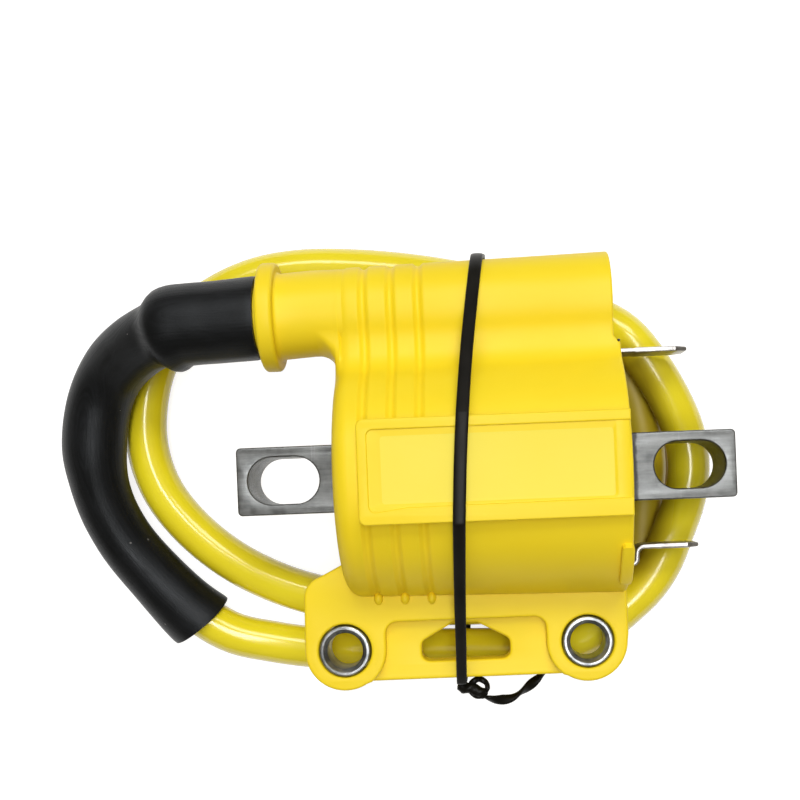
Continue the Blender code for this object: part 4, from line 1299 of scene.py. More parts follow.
@dataclass
class CaseTower:
    """Neck, collar and spigot on the barrel's axis, with the fillet on the end wall."""

    finish: Material
    shell: CaseShell
    neck_r: float = 6.65
    root_r: float = 6.63
    root_depth: float = 4.0
    neck_end: float = -26.0
    bore_gap: float = 0.4
    collar_r: float = 8.4
    collar_edge: float = 0.6
    collar_drop: float = 0.35
    fillet: float = 3.0
    fillet_steps: int = 14
    fillet_sides: int = 120

    def build(self) -> Object:
        """Make the tower, its bore open at the spigot's end.

        Returns:
            The piece.
        """
        left, right, edge = SIZES.collar_left, SIZES.collar_right, self.collar_edge
        end, outer, bore = SIZES.spigot_end, SIZES.spigot_r, SIZES.lead_r + self.bore_gap
        root = SIZES.case_left + self.root_depth
        profile = [(SIZES.contact_x, 0.0), (SIZES.contact_x, bore), (end + 0.2, bore),
                   (end, bore + 0.2), (end, outer - 0.4), (end + 0.4, outer),
                   (left - 0.25, outer)]
        profile += arc((left - 0.25, outer + 0.25), 0.25, 270.0, 360.0, 3)[1:]
        profile += arc((left + edge, self.collar_r - edge), edge, 180.0, 90.0, 6)
        profile += arc((right - edge, self.collar_r - edge), edge, 90.0, 0.0, 6)
        profile += arc((right + 0.5, self.neck_r + 0.5), 0.5, 180.0, 270.0, 5)
        profile += [(self.neck_end, self.neck_r), (root, self.root_r), (root, 0.0)]
        bm = turned(profile, Vector((0.0, SIZES.barrel_y, SIZES.barrel_z)), Turn.ALONG_X, 96)
        for vert in bm.verts:
            vert.co.y -= self.collar_drop * (1.0 - blend_step(vert.co.x, right, right + 2.0))
        return finish_piece("tower_neck", merged([bm, self.end_fillet()]), self.finish)

    def reach(self, outline: Sequence[Point2], angle: float) -> float:
        """Distance from the neck's axis to the case's skin.

        Args:
            outline: YZ outline of the case.
            angle: Direction round the neck, in radians.

        Returns:
            The distance in millimetres.
        """
        middle = Vector((SIZES.barrel_y, SIZES.barrel_z))
        ray = Vector((cos(angle), sin(angle)))
        best = 0.0
        for first, last in zip(outline, [*outline[1:], outline[0]]):
            start, end = Vector(first) - middle, Vector(last) - middle
            side_a, side_b = ray.cross(start), ray.cross(end)
            if side_a * side_b <= 0.0 and side_a != side_b:
                best = max(best, ray.dot(start.lerp(end, side_a / (side_a - side_b))))
        return best

    def end_fillet(self) -> BMesh:
        """Concave fillet from the neck's lower half to the case's end wall and shoulder.

        Returns:
            The mesh, in millimetres.
        """
        skin_line = self.shell.ring(SIZES.case_left, self.shell.inset_at(SIZES.case_left))
        outline = [(point.y, point.z) for point in skin_line]
        angles = [2.0 * pi * side / self.fillet_sides for side in range(self.fillet_sides)]
        rooms = [max(0.01, self.reach(outline, angle) - self.neck_r) for angle in angles]
        hollow = SIZES.case_left - self.fillet
        rings = []
        for index in range(self.fillet_steps + 1):
            x = hollow + self.fillet * sin(radians(90.0 * index / self.fillet_steps))
            flare = self.fillet - sqrt(max(0.0, self.fillet ** 2 - (x - hollow) ** 2))
            ring = []
            for angle, room in zip(angles, rooms):
                rise = (max(flare, 1e-4) ** -3 + room ** -3) ** (-1.0 / 3.0)
                radius = self.root_r + rise
                ring.append(Vector((x, SIZES.barrel_y + radius * cos(angle),
                                    SIZES.barrel_z + radius * sin(angle))))
            rings.append(ring)
        return skin(rings)


@dataclass
class MountingFlange:
    """Flange with two ears, a sunk web between them and a window through the web."""

    finish: Material
    right_edge: tuple[Point2, ...] = ((21.2, -26.0), (21.2, -8.0))
    pocket_depth: float = 2.0
    pocket_top: float = -22.8
    pocket_r: float = 1.9
    pocket_land: float = 0.2
    layer_overlap: float = 1.2
    window_r: float = 1.3
    edge: float = 0.45
    bushing_gap: float = 0.14
    nub_r: float = 0.72
    nub_length: float = 2.1
    window: tuple[Point2, ...] = ((-11.4, -29.4), (2.6, -29.4), (2.6, -26.3), (-2.6, -23.5),
                                  (-6.4, -23.5), (-11.4, -26.3))

    def left_edge(self) -> list[Point2]:
        """Upper left corner of the flange, from inside the case down to the ear."""
        return [(-20.8, -8.0), (-22.2, -12.9), (-24.6, -14.15), (-26.4, -15.05),
                *arc((-25.95, -18.6), 3.45, 118.0, 180.0, 9)]

    def full_outline(self) -> list[Point2]:
        """Outline of the whole flange, the web's lower edge running into the ears.

        Returns:
            The outline's points.
        """
        drop = degrees(asin((SIZES.ear_left[1] - SIZES.web_bottom) / SIZES.ear_r))
        return [*self.left_edge(),
                *arc(SIZES.ear_left, SIZES.ear_r, 180.0, 360.0 - drop, 28),
                *arc(SIZES.ear_right, SIZES.ear_r, 180.0 + drop, 358.0, 28), *self.right_edge]

    def raised_outline(self) -> list[Point2]:
        """Outline of the front layer, which leaves the pocket open downwards.

        Returns:
            The outline's points.
        """
        reach, corner = SIZES.ear_r + self.pocket_land, self.pocket_r
        left, right = SIZES.ear_left[0] + reach, SIZES.ear_right[0] - reach
        top = self.pocket_top - corner
        outline = self.left_edge()
        for centre, radius, start, end, count in (
                (SIZES.ear_left, SIZES.ear_r, 180.0, 302.0, 24),
                (SIZES.ear_left, reach, 308.0, 360.0, 12),
                ((left + corner, top), corner, 180.0, 90.0, 7),
                ((right - corner, top), corner, 90.0, 0.0, 7),
                (SIZES.ear_right, reach, 180.0, 232.0, 12),
                (SIZES.ear_right, SIZES.ear_r, 238.0, 358.0, 24)):
            outline += arc(centre, radius, start, end, count)
        return [*outline, *self.right_edge]

    def nubs(self) -> list[BMesh]:
        """Small round ribs at the feet of the three grooves.

        Returns:
            Their meshes.
        """
        size = (self.nub_r, self.nub_length / 2.0, self.nub_r * 1.3)
        rise = SIZES.flange_front - SIZES.core_z
        return [ball(size, (x, -sqrt(SIZES.radius_at(SIZES.case_r, x) ** 2 - rise ** 2)
                            - self.nub_length * 0.16, SIZES.flange_front - 0.05), 20, 14)
                for x in SIZES.grooves]

    def build(self) -> Object:
        """Make the flange from a web layer, a raised layer and the nubs.

        Returns:
            The piece.
        """
        bores = [arc(centre, SIZES.bushing_r + self.bushing_gap, 0.0, 360.0, 64)[:-1]
                 for centre in (SIZES.ear_left, SIZES.ear_right)]
        web = SIZES.flange_front - self.pocket_depth
        lower = plate(self.full_outline(), [*bores, rounded(self.window, self.window_r)],
                      SIZES.flange_rear, web, self.edge)
        upper = plate(self.raised_outline(), bores, web - self.layer_overlap,
                      SIZES.flange_front, self.edge)
        return finish_piece("mounting_flange", merged([lower, upper, *self.nubs()]), self.finish,
                            (), 40.0)


@dataclass
class LabelFrame:
    """Raised frame, open to the right, round a bare recess with sloped borders."""

    finish: Material
    panel_finish: Material
    x_run: Point2 = (-18.4, 20.75)
    step_left: float = -16.9
    step_y: Point2 = (-4.5, 6.5)
    slope_x: Point2 = (-17.2, 18.65)
    slope_y: Point2 = (-4.55, 6.8)
    panel_x: Point2 = (-14.8, 18.2)
    panel_y: Point2 = (-4.15, 5.4)
    corner_r: float = 1.1
    step_r: float = 0.9
    step_depth: float = 0.28
    depth: float = 0.52
    rim_edge: float = 0.22

    @staticmethod
    def ring(x_run: Point2, y_run: Point2, z: float, corner: float) -> list[Vector]:
        """Ring of a rounded rectangle at a height."""
        return [Vector((x, y, z)) for x, y in rounded(rectangle(x_run, y_run), corner)]

    def base(self) -> BMesh:
        """Lower layer with the slopes down to the panel.

        Returns:
            The mesh, in millimetres.
        """
        level, floor = SIZES.label_z - self.step_depth, SIZES.label_z - self.depth
        left, right = self.x_run[0] + 0.2, self.x_run[1]
        low, high = SIZES.label_y
        rings = [self.ring((left, right), (low, high), SIZES.label_z - 5.0, self.corner_r)]
        for drawn, drop in ((0.1, 0.3), (0.15, 0.1), (0.3, 0.0)):
            rings.append(self.ring((left + drawn, right - drawn),
                                   (low + 0.1 + drawn, high - 0.1 - drawn), level - drop,
                                   self.corner_r * 0.8))
        for share, drop in ((0.0, 0.0), (0.08, 0.03), (0.9, 0.93), (1.0, 1.0)):
            rings.append(self.ring(mix_pair(self.slope_x, self.panel_x, share),
                                   mix_pair(self.slope_y, self.panel_y, share),
                                   mix(level, floor, drop), 0.8 - 0.35 * share))
        return skin(rings)

    def rim(self) -> BMesh:
        """Upper layer: the frame's strips above, to the left and below.

        Returns:
            The mesh, in millimetres.
        """
        (left, right), (low, high) = self.x_run, SIZES.label_y
        step_low, step_high = self.step_y
        outer = rounded(rectangle((left, right + 3.0), (low, high)), self.corner_r)
        inner = rounded([(self.step_left, step_low - 0.9), (-11.5, step_low - 0.2),
                         (right + 6.0, step_low), (right + 6.0, step_high),
                         (self.step_left, step_high)], self.step_r)
        high_outer, low_outer, low_inner, high_inner = (
            [point for point in line if point[0] < right and point[1] * side > 0.0]
            for line, side in ((outer, 1.0), (outer, -1.0), (inner, -1.0), (inner, 1.0)))
        outline = [*high_outer, *low_outer, (right, low), (right, step_low), *low_inner[::-1],
                   *high_inner[::-1], (right, step_high), (right, high)]
        return plate(outline, [], SIZES.label_z - 3.0, SIZES.label_z, self.rim_edge)

    def build(self) -> Object:
        """Make the frame, its panel in a slightly paler, smoother finish.

        Returns:
            The piece.
        """
        piece = finish_piece("label_frame", merged([self.base(), self.rim()]), self.finish,
                             (), 50.0)
        piece.data.materials.append(self.panel_finish)
        floor = (SIZES.label_z - self.depth) * MM
        for face in piece.data.polygons:
            if abs(face.center.z - floor) < 1e-5 and face.normal.z > 0.9:
                face.material_index = 1
        return piece


@dataclass
class CaseDetails:
    """Rim tab, seat pads and the small moulding mark on the shoulder."""

    finish: Material
    dark: Material
    shell: CaseShell
    mark: Point2 = (20.6, 19.05)
    mark_r: float = 0.22
    pad_half_y: float = 7.4
    pads: tuple[Point2, ...] = ((-22.0, -12.0), (12.0, 20.0))
    tab_x: Point2 = (19.15, 21.0)
    tab_angles: Point2 = (125.0, 148.0)
    tab_r: Point2 = (18.4, 20.7)
    tab_edge: float = 0.45

    def tab(self) -> BMesh:
        """Short band on the rim with rounded ends.

        Returns:
            The mesh, in millimetres.
        """
        (inner, outer), (start, end) = self.tab_r, self.tab_angles
        centre = (0.0, SIZES.core_z)
        last = arc(centre, (outer + inner) / 2.0, end, end, 1)[0]
        outline = [*arc(centre, outer, start, end, 12),
                   *arc(last, (outer - inner) / 2.0, end, end + 180.0, 8)[1:-1],
                   *arc(centre, inner, start, end, 12)[::-1]]
        middle = (sum(p[0] for p in outline) / len(outline),
                  sum(p[1] for p in outline) / len(outline))
        (low, high), edge = self.tab_x, self.tab_edge
        return skin([[Vector((x, *mix_pair(middle, point, size))) for point in outline]
                     for x, size in ((low, 0.86), (low + edge * 0.3, 0.95), (low + edge, 1.0),
                                     (high - edge, 1.0), (high - edge * 0.3, 0.95),
                                     (high, 0.86))])

    def build(self) -> None:
        """Make the pieces."""
        pads = [soft_box((left, -self.pad_half_y, 0.0),
                         (right, self.pad_half_y, SIZES.back_z + 1.0), 0.3)
                for left, right in self.pads]
        finish_piece("rim_tab", self.tab(), self.finish)
        finish_piece("seat_pads", merged(pads), self.finish)
        x, y = self.mark
        height = max(p.z for p in self.shell.ring(x, 0.0) if abs(p.y - y) < 0.6)
        mark = ball((self.mark_r,) * 3, (x, y, height - self.mark_r * 0.4), 16, 10)
        finish_piece("moulding_mark", mark, self.dark)


# ---- Core, bushings, blades and resin ----
@dataclass
class CoreStack:
    """Laminated steel bar: many thin sheets with slotted lugs and softened top edges."""

    finish: Material
    sheet_count: int = 22
    corner_r: float = 0.7
    seam: float = 0.035
    rim_edge: float = 0.26
    sheet_edge: float = 0.05
    stagger: float = 0.02

    def slot(self, side: float) -> list[Point2]:
        """Outline of one lug's slot.

        Args:
            side: -1 for the left lug, 1 for the right.

        Returns:
            The outline's points.
        """
        middle = side * (SIZES.core_length / 2.0 - SIZES.slot_end_land - SIZES.slot_length / 2.0)
        run = (SIZES.slot_length - SIZES.slot_width) / 2.0
        return [*arc((middle + run, 0.0), SIZES.slot_width / 2.0, -90.0, 90.0, 18),
                *arc((middle - run, 0.0), SIZES.slot_width / 2.0, 90.0, 270.0, 18)]

    def build(self) -> Object:
        """Make all sheets as one piece, the outer two of double thickness.

        Returns:
            The piece.
        """
        half_x, half_y = SIZES.core_length / 2.0, SIZES.core_width / 2.0
        corners = rectangle((-half_x, half_x), (-half_y, half_y))
        pitch = SIZES.core_height / self.sheet_count
        low = SIZES.core_z - SIZES.core_height / 2.0
        starts = [0, *range(2, self.sheet_count - 1)]
        sheets = []
        for first, last in zip(starts, [*starts[1:], self.sheet_count]):
            shift = self.stagger * sin(first * 2.4)
            outline = [(x + shift, y + shift * 0.7) for x, y in rounded(corners, self.corner_r, 5)]
            sheets.append(plate(outline, [self.slot(-1.0), self.slot(1.0)],
                                low + pitch * first, low + pitch * last - self.seam,
                                self.rim_edge if last - first > 1 else self.sheet_edge))
        nodes = [f"core_sheet_{i}" for i in range(1, 7)]
        return finish_piece("core_stack", merged(sheets), self.finish, nodes, 40.0)


@dataclass
class EarBushings:
    """Plated steel sleeves with rolled, chamfered mouths."""

    finish: Material
    outer_gap: float = 0.02
    bore_r: float = 2.75
    chamfer: float = 0.35
    roll: float = 0.28
    proud: float = 0.2

    def profile(self) -> list[Point2]:
        """Closed (z, radius) profile.

        Returns:
            The profile's points.
        """
        low, high = SIZES.flange_rear - self.proud, SIZES.flange_front + self.proud
        outer, bore, c = SIZES.bushing_r - self.outer_gap, self.bore_r, self.chamfer
        return [(low + 0.15, outer), (high - self.roll, outer),
                *arc((high - self.roll, outer - self.roll), self.roll, 90.0, 0.0, 6)[1:],
                (high, bore + c + 0.30), (high - 0.10, bore + c + 0.16), (high - 0.22, bore + c),
                (high - c - 0.25, bore + 0.05), (high - c - 0.7, bore),
                (low + c + 0.5, bore), (low + c, bore + 0.03), (low, bore + c),
                (low, outer - 0.15)]

    def build(self) -> None:
        """Make both bushings."""
        for side, centre in (("left", SIZES.ear_left), ("right", SIZES.ear_right)):
            bm = turned(self.profile(), Vector((*centre, 0.0)), Turn.UPRIGHT, 72, closed=True)
            finish_piece(f"ear_bushing_{side}", bm, self.finish, [f"bushing_{side}"])


@dataclass
class BladeTerminals:
    """Stamped tab terminals, the lower one cranked."""

    finish: Material
    thick: float = 0.8
    z_run: Point2 = (14.8, 21.0)
    root_z: Point2 = (16.0, 20.0)
    root_end: float = 20.2
    root_share: float = 0.86
    crimp_half: float = 0.14
    crimp_share: float = 0.80
    taper: Point2 = (1.8, 1.1)
    nose: float = 0.35
    signal: tuple[Point3, ...] = ((13.9, 18.2, 0.0), (20.0, 18.2, 0.0), (23.7, 18.2, 0.0),
                                  (27.0, 18.2, 0.0), (32.05, 18.2, 0.0))
    ground: tuple[Point3, ...] = ((13.9, -14.0, 0.0), (18.0, -14.0, 0.0), (20.2, -14.2, 0.0),
                                  (21.4, -14.7, 0.0), (22.3, -15.1, 0.0), (22.85, -14.8, 0.0),
                                  (22.95, -14.1, 0.0), (23.0, -13.5, 0.0), (23.2, -12.95, 0.0),
                                  (23.75, -12.58, 0.0), (24.6, -12.5, 0.0), (28.0, -12.5, 0.0),
                                  (32.7, -12.5, 0.0))
    shoulders: Point2 = (23.7, 25.8)

    @staticmethod
    def section(point: Vector, side: Vector, half: float, z_run: Point2) -> list[Vector]:
        """One rounded cross-section of a blade.

        Args:
            point: Middle of the blade.
            side: Direction of its thickness.
            half: Half its thickness.
            z_run: Its lower and upper edge.

        Returns:
            The ring's points.
        """
        edge = min(half * 0.55, 0.2)
        ring = []
        for y_sign, z_sign in ((-1, -1), (1, -1), (1, 1), (-1, 1)):
            z = z_run[0] if z_sign < 0 else z_run[1]
            spots = [(y_sign * half, z - z_sign * edge),
                     (y_sign * (half - edge * 0.3), z - z_sign * edge * 0.3),
                     (y_sign * (half - edge), z)]
            for across, height in spots[::y_sign * z_sign]:
                ring.append(point + side * across + Vector((0.0, 0.0, height)))
        return ring

    def blade(self, route: Sequence[Point3], shoulder: float) -> BMesh:
        """One blade along its route, thinner in the resin, bevelled at its tip.

        Args:
            route: Points of its middle line.
            shoulder: X where the crimped shoulder gives way to the tab.

        Returns:
            The blade's mesh.
        """
        path = SmoothPath(route, 8)
        rings = []
        body_end = path.length - 0.5
        for point in path.spaced(0.22, 0.0, body_end)[:-1] + path.spaced(0.05, body_end):
            near = min(range(len(path.fine)), key=lambda i: (path.fine[i] - point).length)
            ahead = path.at(min(path.length, path.total[near] + 0.3))
            behind = path.at(max(0.0, path.total[near] - 0.3))
            tangent = (ahead - behind).normalized()
            half = self.thick / 2.0
            low, high = self.root_z if point.x < self.root_end else self.z_run
            if point.x < shoulder:
                half *= self.root_share
            if abs(point.x - shoulder) < self.crimp_half:
                half *= self.crimp_share
            reach = route[-1][0] - point.x
            if reach < self.taper[0]:
                share = 1.0 - reach / self.taper[0]
                low += self.taper[1] * share
                high -= self.taper[1] * share
                half *= 1.0 - 0.15 * share
            if reach < self.nose:
                half *= 0.50 + 0.50 * sqrt(max(0.0, 1.0 - (1.0 - reach / self.nose) ** 2))
            rings.append(self.section(point, Vector((-tangent.y, tangent.x, 0.0)), half,
                                      (low, high)))
        return skin(rings)

    def build(self) -> None:
        """Make both blades."""
        for name, route, shoulder in zip(("signal", "ground"), (self.signal, self.ground),
                                         self.shoulders):
            finish_piece(f"{name}_blade", self.blade(route, shoulder), self.finish,
                         [f"{name}_terminal"], 25.0)


@dataclass
class ResinFill:
    """Poured resin at the open end, a little hollow, creeping up the walls."""

    finish: Material
    shell: CaseShell
    start_x: float = 15.0

    def build(self) -> Object:
        """Make the plug.

        Returns:
            The piece.
        """
        rings = [self.shell.inner_ring(self.start_x)]
        for grow, x in ((0.02, 0.25), (-0.25, 0.08), (-0.7, -0.05), (-1.6, -0.12)):
            rings.append(self.shell.inner_ring(self.shell.resin_x + x, grow))
        return finish_piece("resin_fill", skin(rings), self.finish, ["potting_resin"],
                            60.0)


# ---- Lead, sleeve and tie ----
@dataclass
class HighTensionLead:
    """The silicone lead as one smooth curve, with its stranded conductor at the bare end."""

    finish: Material
    wire: Material
    step: float = 1.6
    strands: int = 6
    conductor_r: float = 0.9
    stub: float = 0.8

    def build(self, path: SmoothPath) -> Object:
        """Make the lead's curve along its centreline.

        Args:
            path: The lead's centreline.

        Returns:
            The curve object.
        """
        curve = bpy.data.curves.new("lead_jacket", "CURVE")
        curve.dimensions = "3D"
        curve.bevel_depth = SIZES.lead_r * MM
        curve.bevel_resolution = 7
        curve.use_fill_caps = True
        add_line(curve, [packed(point) for point in path.spaced(self.step)], False)
        curve.materials.append(self.finish)
        LOG.info("lead_jacket: %.1f mm long", path.length)
        return declare(put("lead_jacket", curve), ["ht_lead"])

    def conductor(self, path: SmoothPath) -> Object:
        """Short bundle of strands standing out of the cut end.

        Args:
            path: The lead's centreline.

        Returns:
            The piece.
        """
        end = path.at(path.length)
        along = (end - path.at(path.length - 2.0)).normalized()
        side = along.cross(Vector((0.0, 0.0, 1.0))).normalized()
        up = side.cross(along)
        turn = along.to_track_quat("Z", "Y").to_matrix().to_4x4()
        strand_r = self.conductor_r / 3.0
        rods = []
        for index in range(self.strands + 1):
            angle = 2.0 * pi * index / self.strands
            spread = 0.0 if index == self.strands else 2.0 * strand_r
            offset = (side * cos(angle) + up * sin(angle)) * spread
            bm = bmesh.new()
            bmesh.ops.create_cone(bm, cap_ends=True, segments=12, radius1=strand_r * 0.96,
                                  radius2=strand_r * 0.9, depth=self.stub)
            place = Matrix.Translation(end + along * (self.stub / 2.0 + 0.02) + offset)
            bmesh.ops.transform(bm, matrix=place @ turn, verts=bm.verts)
            rods.append(bm)
        return finish_piece("lead_strands", merged(rods), self.wire,
                            ["lead_conductor"])


@dataclass
class RubberSleeve:
    """Black sleeve: stretched over the spigot, buckled where it leaves it, snug on the lead."""

    finish: Material
    sides: int = 56
    step: float = 0.6
    lip: float = 0.12
    wall: float = 1.05
    table_z: float = 0.05
    outer_reach: tuple[Point2, ...] = (
        (0.0, 6.19), (11.0, 5.42), (13.2, 5.48), (14.5, 5.25), (16.2, 4.10), (18.0, 3.95),
        (22.0, 4.18), (26.0, 4.34), (32.0, 4.38), (38.0, 4.55), (44.0, 4.65), (50.0, 4.32),
        (56.0, 4.60), (62.0, 5.11), (68.0, 5.40), (74.0, 5.90), (79.0, 6.60))
    inner_reach: tuple[Point2, ...] = (
        (0.0, 6.83), (11.0, 7.38), (13.2, 7.92), (14.8, 7.95), (16.6, 6.80), (18.6, 6.35),
        (22.0, 6.10), (32.0, 5.75), (38.0, 5.70), (44.0, 5.60), (50.0, 5.06), (56.0, 4.62),
        (62.0, 4.24), (68.0, 4.24), (74.0, 4.40), (79.0, 4.50))
    crease: Point3 = (0.07, 0.62, 0.10)
    crease_turn: float = 0.3
    crease_end: Point2 = (11.0, 14.5)
    slant: float = 0.30
    slanted: float = 9.0

    def section(self, distance: float, angle: float) -> Point2:
        """Place of one point of the skin, seen along the lead.

        Args:
            distance: Distance along the lead.
            angle: Angle round it, 0 towards the outside of the first bend.

        Returns:
            Reach towards the outside of the bend, and reach upwards.
        """
        outer = interpolate(self.outer_reach, distance)
        inner = interpolate(self.inner_reach, distance)
        height, middle, width = self.crease
        crease = exp(-((sin(angle - self.crease_turn) - middle) / width) ** 2)
        radius = (outer + inner) / 2.0
        radius += height * crease * (1.0 - blend_step(distance, *self.crease_end))
        return ((outer - inner) / 2.0 + radius * cos(angle), radius * sin(angle))

    def build(self, path: SmoothPath) -> Object:
        """Make the sleeve as one skin with its bore.

        Args:
            path: The lead's centreline.

        Returns:
            The sleeve.
        """
        end = SIZES.sleeve_length
        points = path.spaced(self.step, 0.0, end)
        count = len(points)
        rings, bore = [], []
        for index, (point, (side, up)) in enumerate(
                zip(points, frames_along(points, Vector((0.0, 1.0, 0.0))))):
            distance = end * index / (count - 1)
            ahead = (points[min(index + 1, count - 1)] - points[max(index - 1, 0)]).normalized()
            lean = self.slant * blend_step(distance, end - self.slanted, end)
            edge = max(0.0, self.lip - min(distance, end - distance)) * 0.6
            middle = point + side * (self.section(distance, 0.0)[0]
                                     + self.section(distance, pi)[0]) / 2.0
            ring, hollow = [], []
            for step in range(self.sides):
                across, height = self.section(distance, 2.0 * pi * step / self.sides)
                spot = point + side * across + up * height
                outward = (spot - middle).normalized()
                spot -= outward * edge + ahead * (across * lean)
                spot.z = max(spot.z, self.table_z)
                ring.append(spot)
                hollow.append(spot - outward * (self.wall - edge))
            rings.append(ring)
            bore.insert(0, hollow)
        bm = skin(rings + bore, joined=True)
        self.lay_uv(bm, points)
        return finish_piece("rubber_sleeve", bm, self.finish, ["lead_sleeve"],
                            45.0)

    @staticmethod
    def lay_uv(bm: BMesh, points: Sequence[Vector]) -> None:
        """Write a UV map that runs along and round the sleeve's centreline points.

        Args:
            bm: The sleeve's mesh.
            points: Its centreline.
        """
        layer = bm.loops.layers.uv.new("along")
        for face in bm.faces:
            for loop in face.loops:
                spot = loop.vert.co
                near = min(range(len(points)), key=lambda i: (points[i] - spot).length_squared)
                away = spot - points[near]
                loop[layer].uv = (near / len(points) * 8.0, atan2(away.z, away.to_2d().length))


@dataclass
class TwistTie:
    """Black tie: a flat strip over its wire, pulled taut round the coil and twisted shut."""

    finish: Material
    width: float = 1.9
    narrow: tuple[Point2, ...] = ((-34.0, 0.84), (-8.0, 0.96), (36.0, 1.0))
    thick: float = 0.8
    gap: float = 0.3
    lift: float = 0.15
    front: tuple[Point2, ...] = ((-34.0, -5.3), (-18.0, -4.7), (-4.0, -4.0), (5.0, -3.4),
                                 (18.0, -2.2), (36.5, 0.2))
    strands: tuple[Point2, ...] = ((32.6, 4.9), (-29.4, 4.8))
    knot: tuple[Point3, ...] = ((-6.0, -33.9, 16.6), (-3.6, -34.3, 16.9), (-1.4, -35.4, 16.8))
    knot_r: float = 1.0
    eye: Point3 = (-2.6, -34.1, 16.9)
    eye_r: float = 1.35
    eye_rod_r: float = 0.51
    tail_r: float = 0.81
    tail: tuple[Point3, ...] = ((-1.8, -35.6, 16.8), (0.2, -36.2, 16.5), (2.4, -36.2, 15.6),
                                (4.6, -35.2, 14.2), (6.6, -33.9, 13.0), (8.6, -32.2, 12.2))

    @staticmethod
    def hull(points: Iterable[Point2]) -> list[Point2]:
        """Convex outline of 2-D points, counter-clockwise.

        Args:
            points: The points.

        Returns:
            The outline's points.
        """
        ordered = sorted(set(points))
        chains: list[list[Point2]] = [[], []]
        for chain, run in zip(chains, (ordered, ordered[::-1])):
            for point in run:
                while len(chain) > 1:
                    ax, ay = chain[-1][0] - chain[-2][0], chain[-1][1] - chain[-2][1]
                    bx, by = point[0] - chain[-2][0], point[1] - chain[-2][1]
                    if ax * by - ay * bx > 0.0:
                        break
                    chain.pop()
                chain.append(point)
        return chains[0][:-1] + chains[1][:-1]

    def taut_line(self) -> list[Point2]:
        """YZ line of the strip round all that it holds.

        Returns:
            The line's points, about 1.5 mm apart.
        """
        reach, floor = self.gap + self.thick / 2.0, self.lift + self.thick / 2.0
        tie_x = interpolate(self.front, 0.0)
        held = [((SIZES.barrel_y, SIZES.barrel_z), SIZES.radius_at(SIZES.barrel_r, tie_x)),
                ((0.0, SIZES.core_z), SIZES.radius_at(SIZES.case_r, tie_x))]
        held += [(strand, SIZES.lead_r) for strand in self.strands]
        held += [((y, SIZES.label_z), 0.0) for y in SIZES.label_y]
        held += [((SIZES.web_bottom, z), 0.0) for z in (SIZES.flange_rear,
                                                        SIZES.flange_front - 2.0)]
        corners = self.hull((round(y, 4), round(max(z, floor), 4)) for centre, radius in held
                            for y, z in arc(centre, radius + reach, 0.0, 360.0, 72)[:-1])
        line: list[Point2] = []
        for here, after in zip(corners, [*corners[1:], corners[0]]):
            steps = max(1, int(hypot(after[0] - here[0], after[1] - here[1]) / 1.5))
            line += [mix_pair(here, after, step / steps) for step in range(steps)]
        return line

    def strip_section(self) -> list[Point2]:
        """(across, out) section: flat below, gently domed over the wire above.

        Returns:
            The section's points.
        """
        w, t = self.width / 2.0, self.thick / 2.0
        turns = [radians(angle) for angle in range(0, 181, 15)]
        return [(-w, -t * 0.3), (-w * 0.9, -t * 0.7), (w * 0.9, -t * 0.7), (w, -t * 0.3),
                *((w * cos(a), t * (0.35 + 0.65 * sin(a) ** 0.6)) for a in turns)]

    def loop(self) -> BMesh:
        """The strip round the coil.

        Returns:
            The mesh, in millimetres.
        """
        line, section = self.taut_line(), self.strip_section()
        (first_y, first_x), (last_y, last_x) = self.front[0], self.front[-1]
        rings = []
        for before, (y, z), after in zip([line[-1], *line], line, [*line[1:], line[0]]):
            tangent = Vector((after[0] - before[0], after[1] - before[1])).normalized()
            out = Vector((0.0, tangent.y, -tangent.x))
            x = mix(first_x, last_x, (y - first_y) / (last_y - first_y))
            if z > SIZES.flange_rear:
                x = interpolate(self.front, y)
            narrow = interpolate(self.narrow, y)
            rings.append([Vector((x + across * narrow, y, z)) + out * height
                          for across, height in section])
        return skin(rings, joined=True)

    @staticmethod
    def rod(route: Sequence[Point3], radius: float, flat: float, twist: float,
            sides: int = 14) -> BMesh:
        """A twisted stretch of the strip.

        Args:
            route: Points it runs through.
            radius: Half its width.
            flat: Its thickness as a share of its width.
            twist: Turns along its length.
            sides: Steps round it.

        Returns:
            The mesh.
        """
        points = SmoothPath(route, 8).spaced(0.35)
        rings = []
        for index, (point, (side, up)) in enumerate(
                zip(points, frames_along(points, Vector((0.0, 0.0, 1.0))))):
            turn = 2.0 * pi * twist * index / len(points)
            size = radius * min(1.0, 0.55 + 0.25 * min(index, len(points) - 1 - index))
            ring = []
            for angle in (2.0 * pi * step / sides for step in range(sides)):
                across, height = cos(angle) * size, sin(angle) * size * flat
                ring.append(point + side * (across * cos(turn) - height * sin(turn))
                            + up * (across * sin(turn) + height * cos(turn)))
            rings.append(ring)
        return skin(rings)

    def build(self) -> Object:
        """Make loop, knot, eye and tail.

        Returns:
            The piece.
        """
        middle = Vector(self.eye)
        ring = [tuple(middle + Vector((y, z, 0.25 * sin(2.0 * a))))
                for a, (y, z) in enumerate(arc((0.0, 0.0), self.eye_r, -30.0, 320.0, 16))]
        bm = merged([self.loop(), self.rod(self.knot, self.knot_r, 0.8, 1.5),
                     self.rod(ring, self.eye_rod_r, 0.8, 0.5),
                     self.rod(self.tail, self.tail_r, 0.5, 1.2)])
        return finish_piece("tie_strip", bm, self.finish, ["twist_tie"], 75.0)


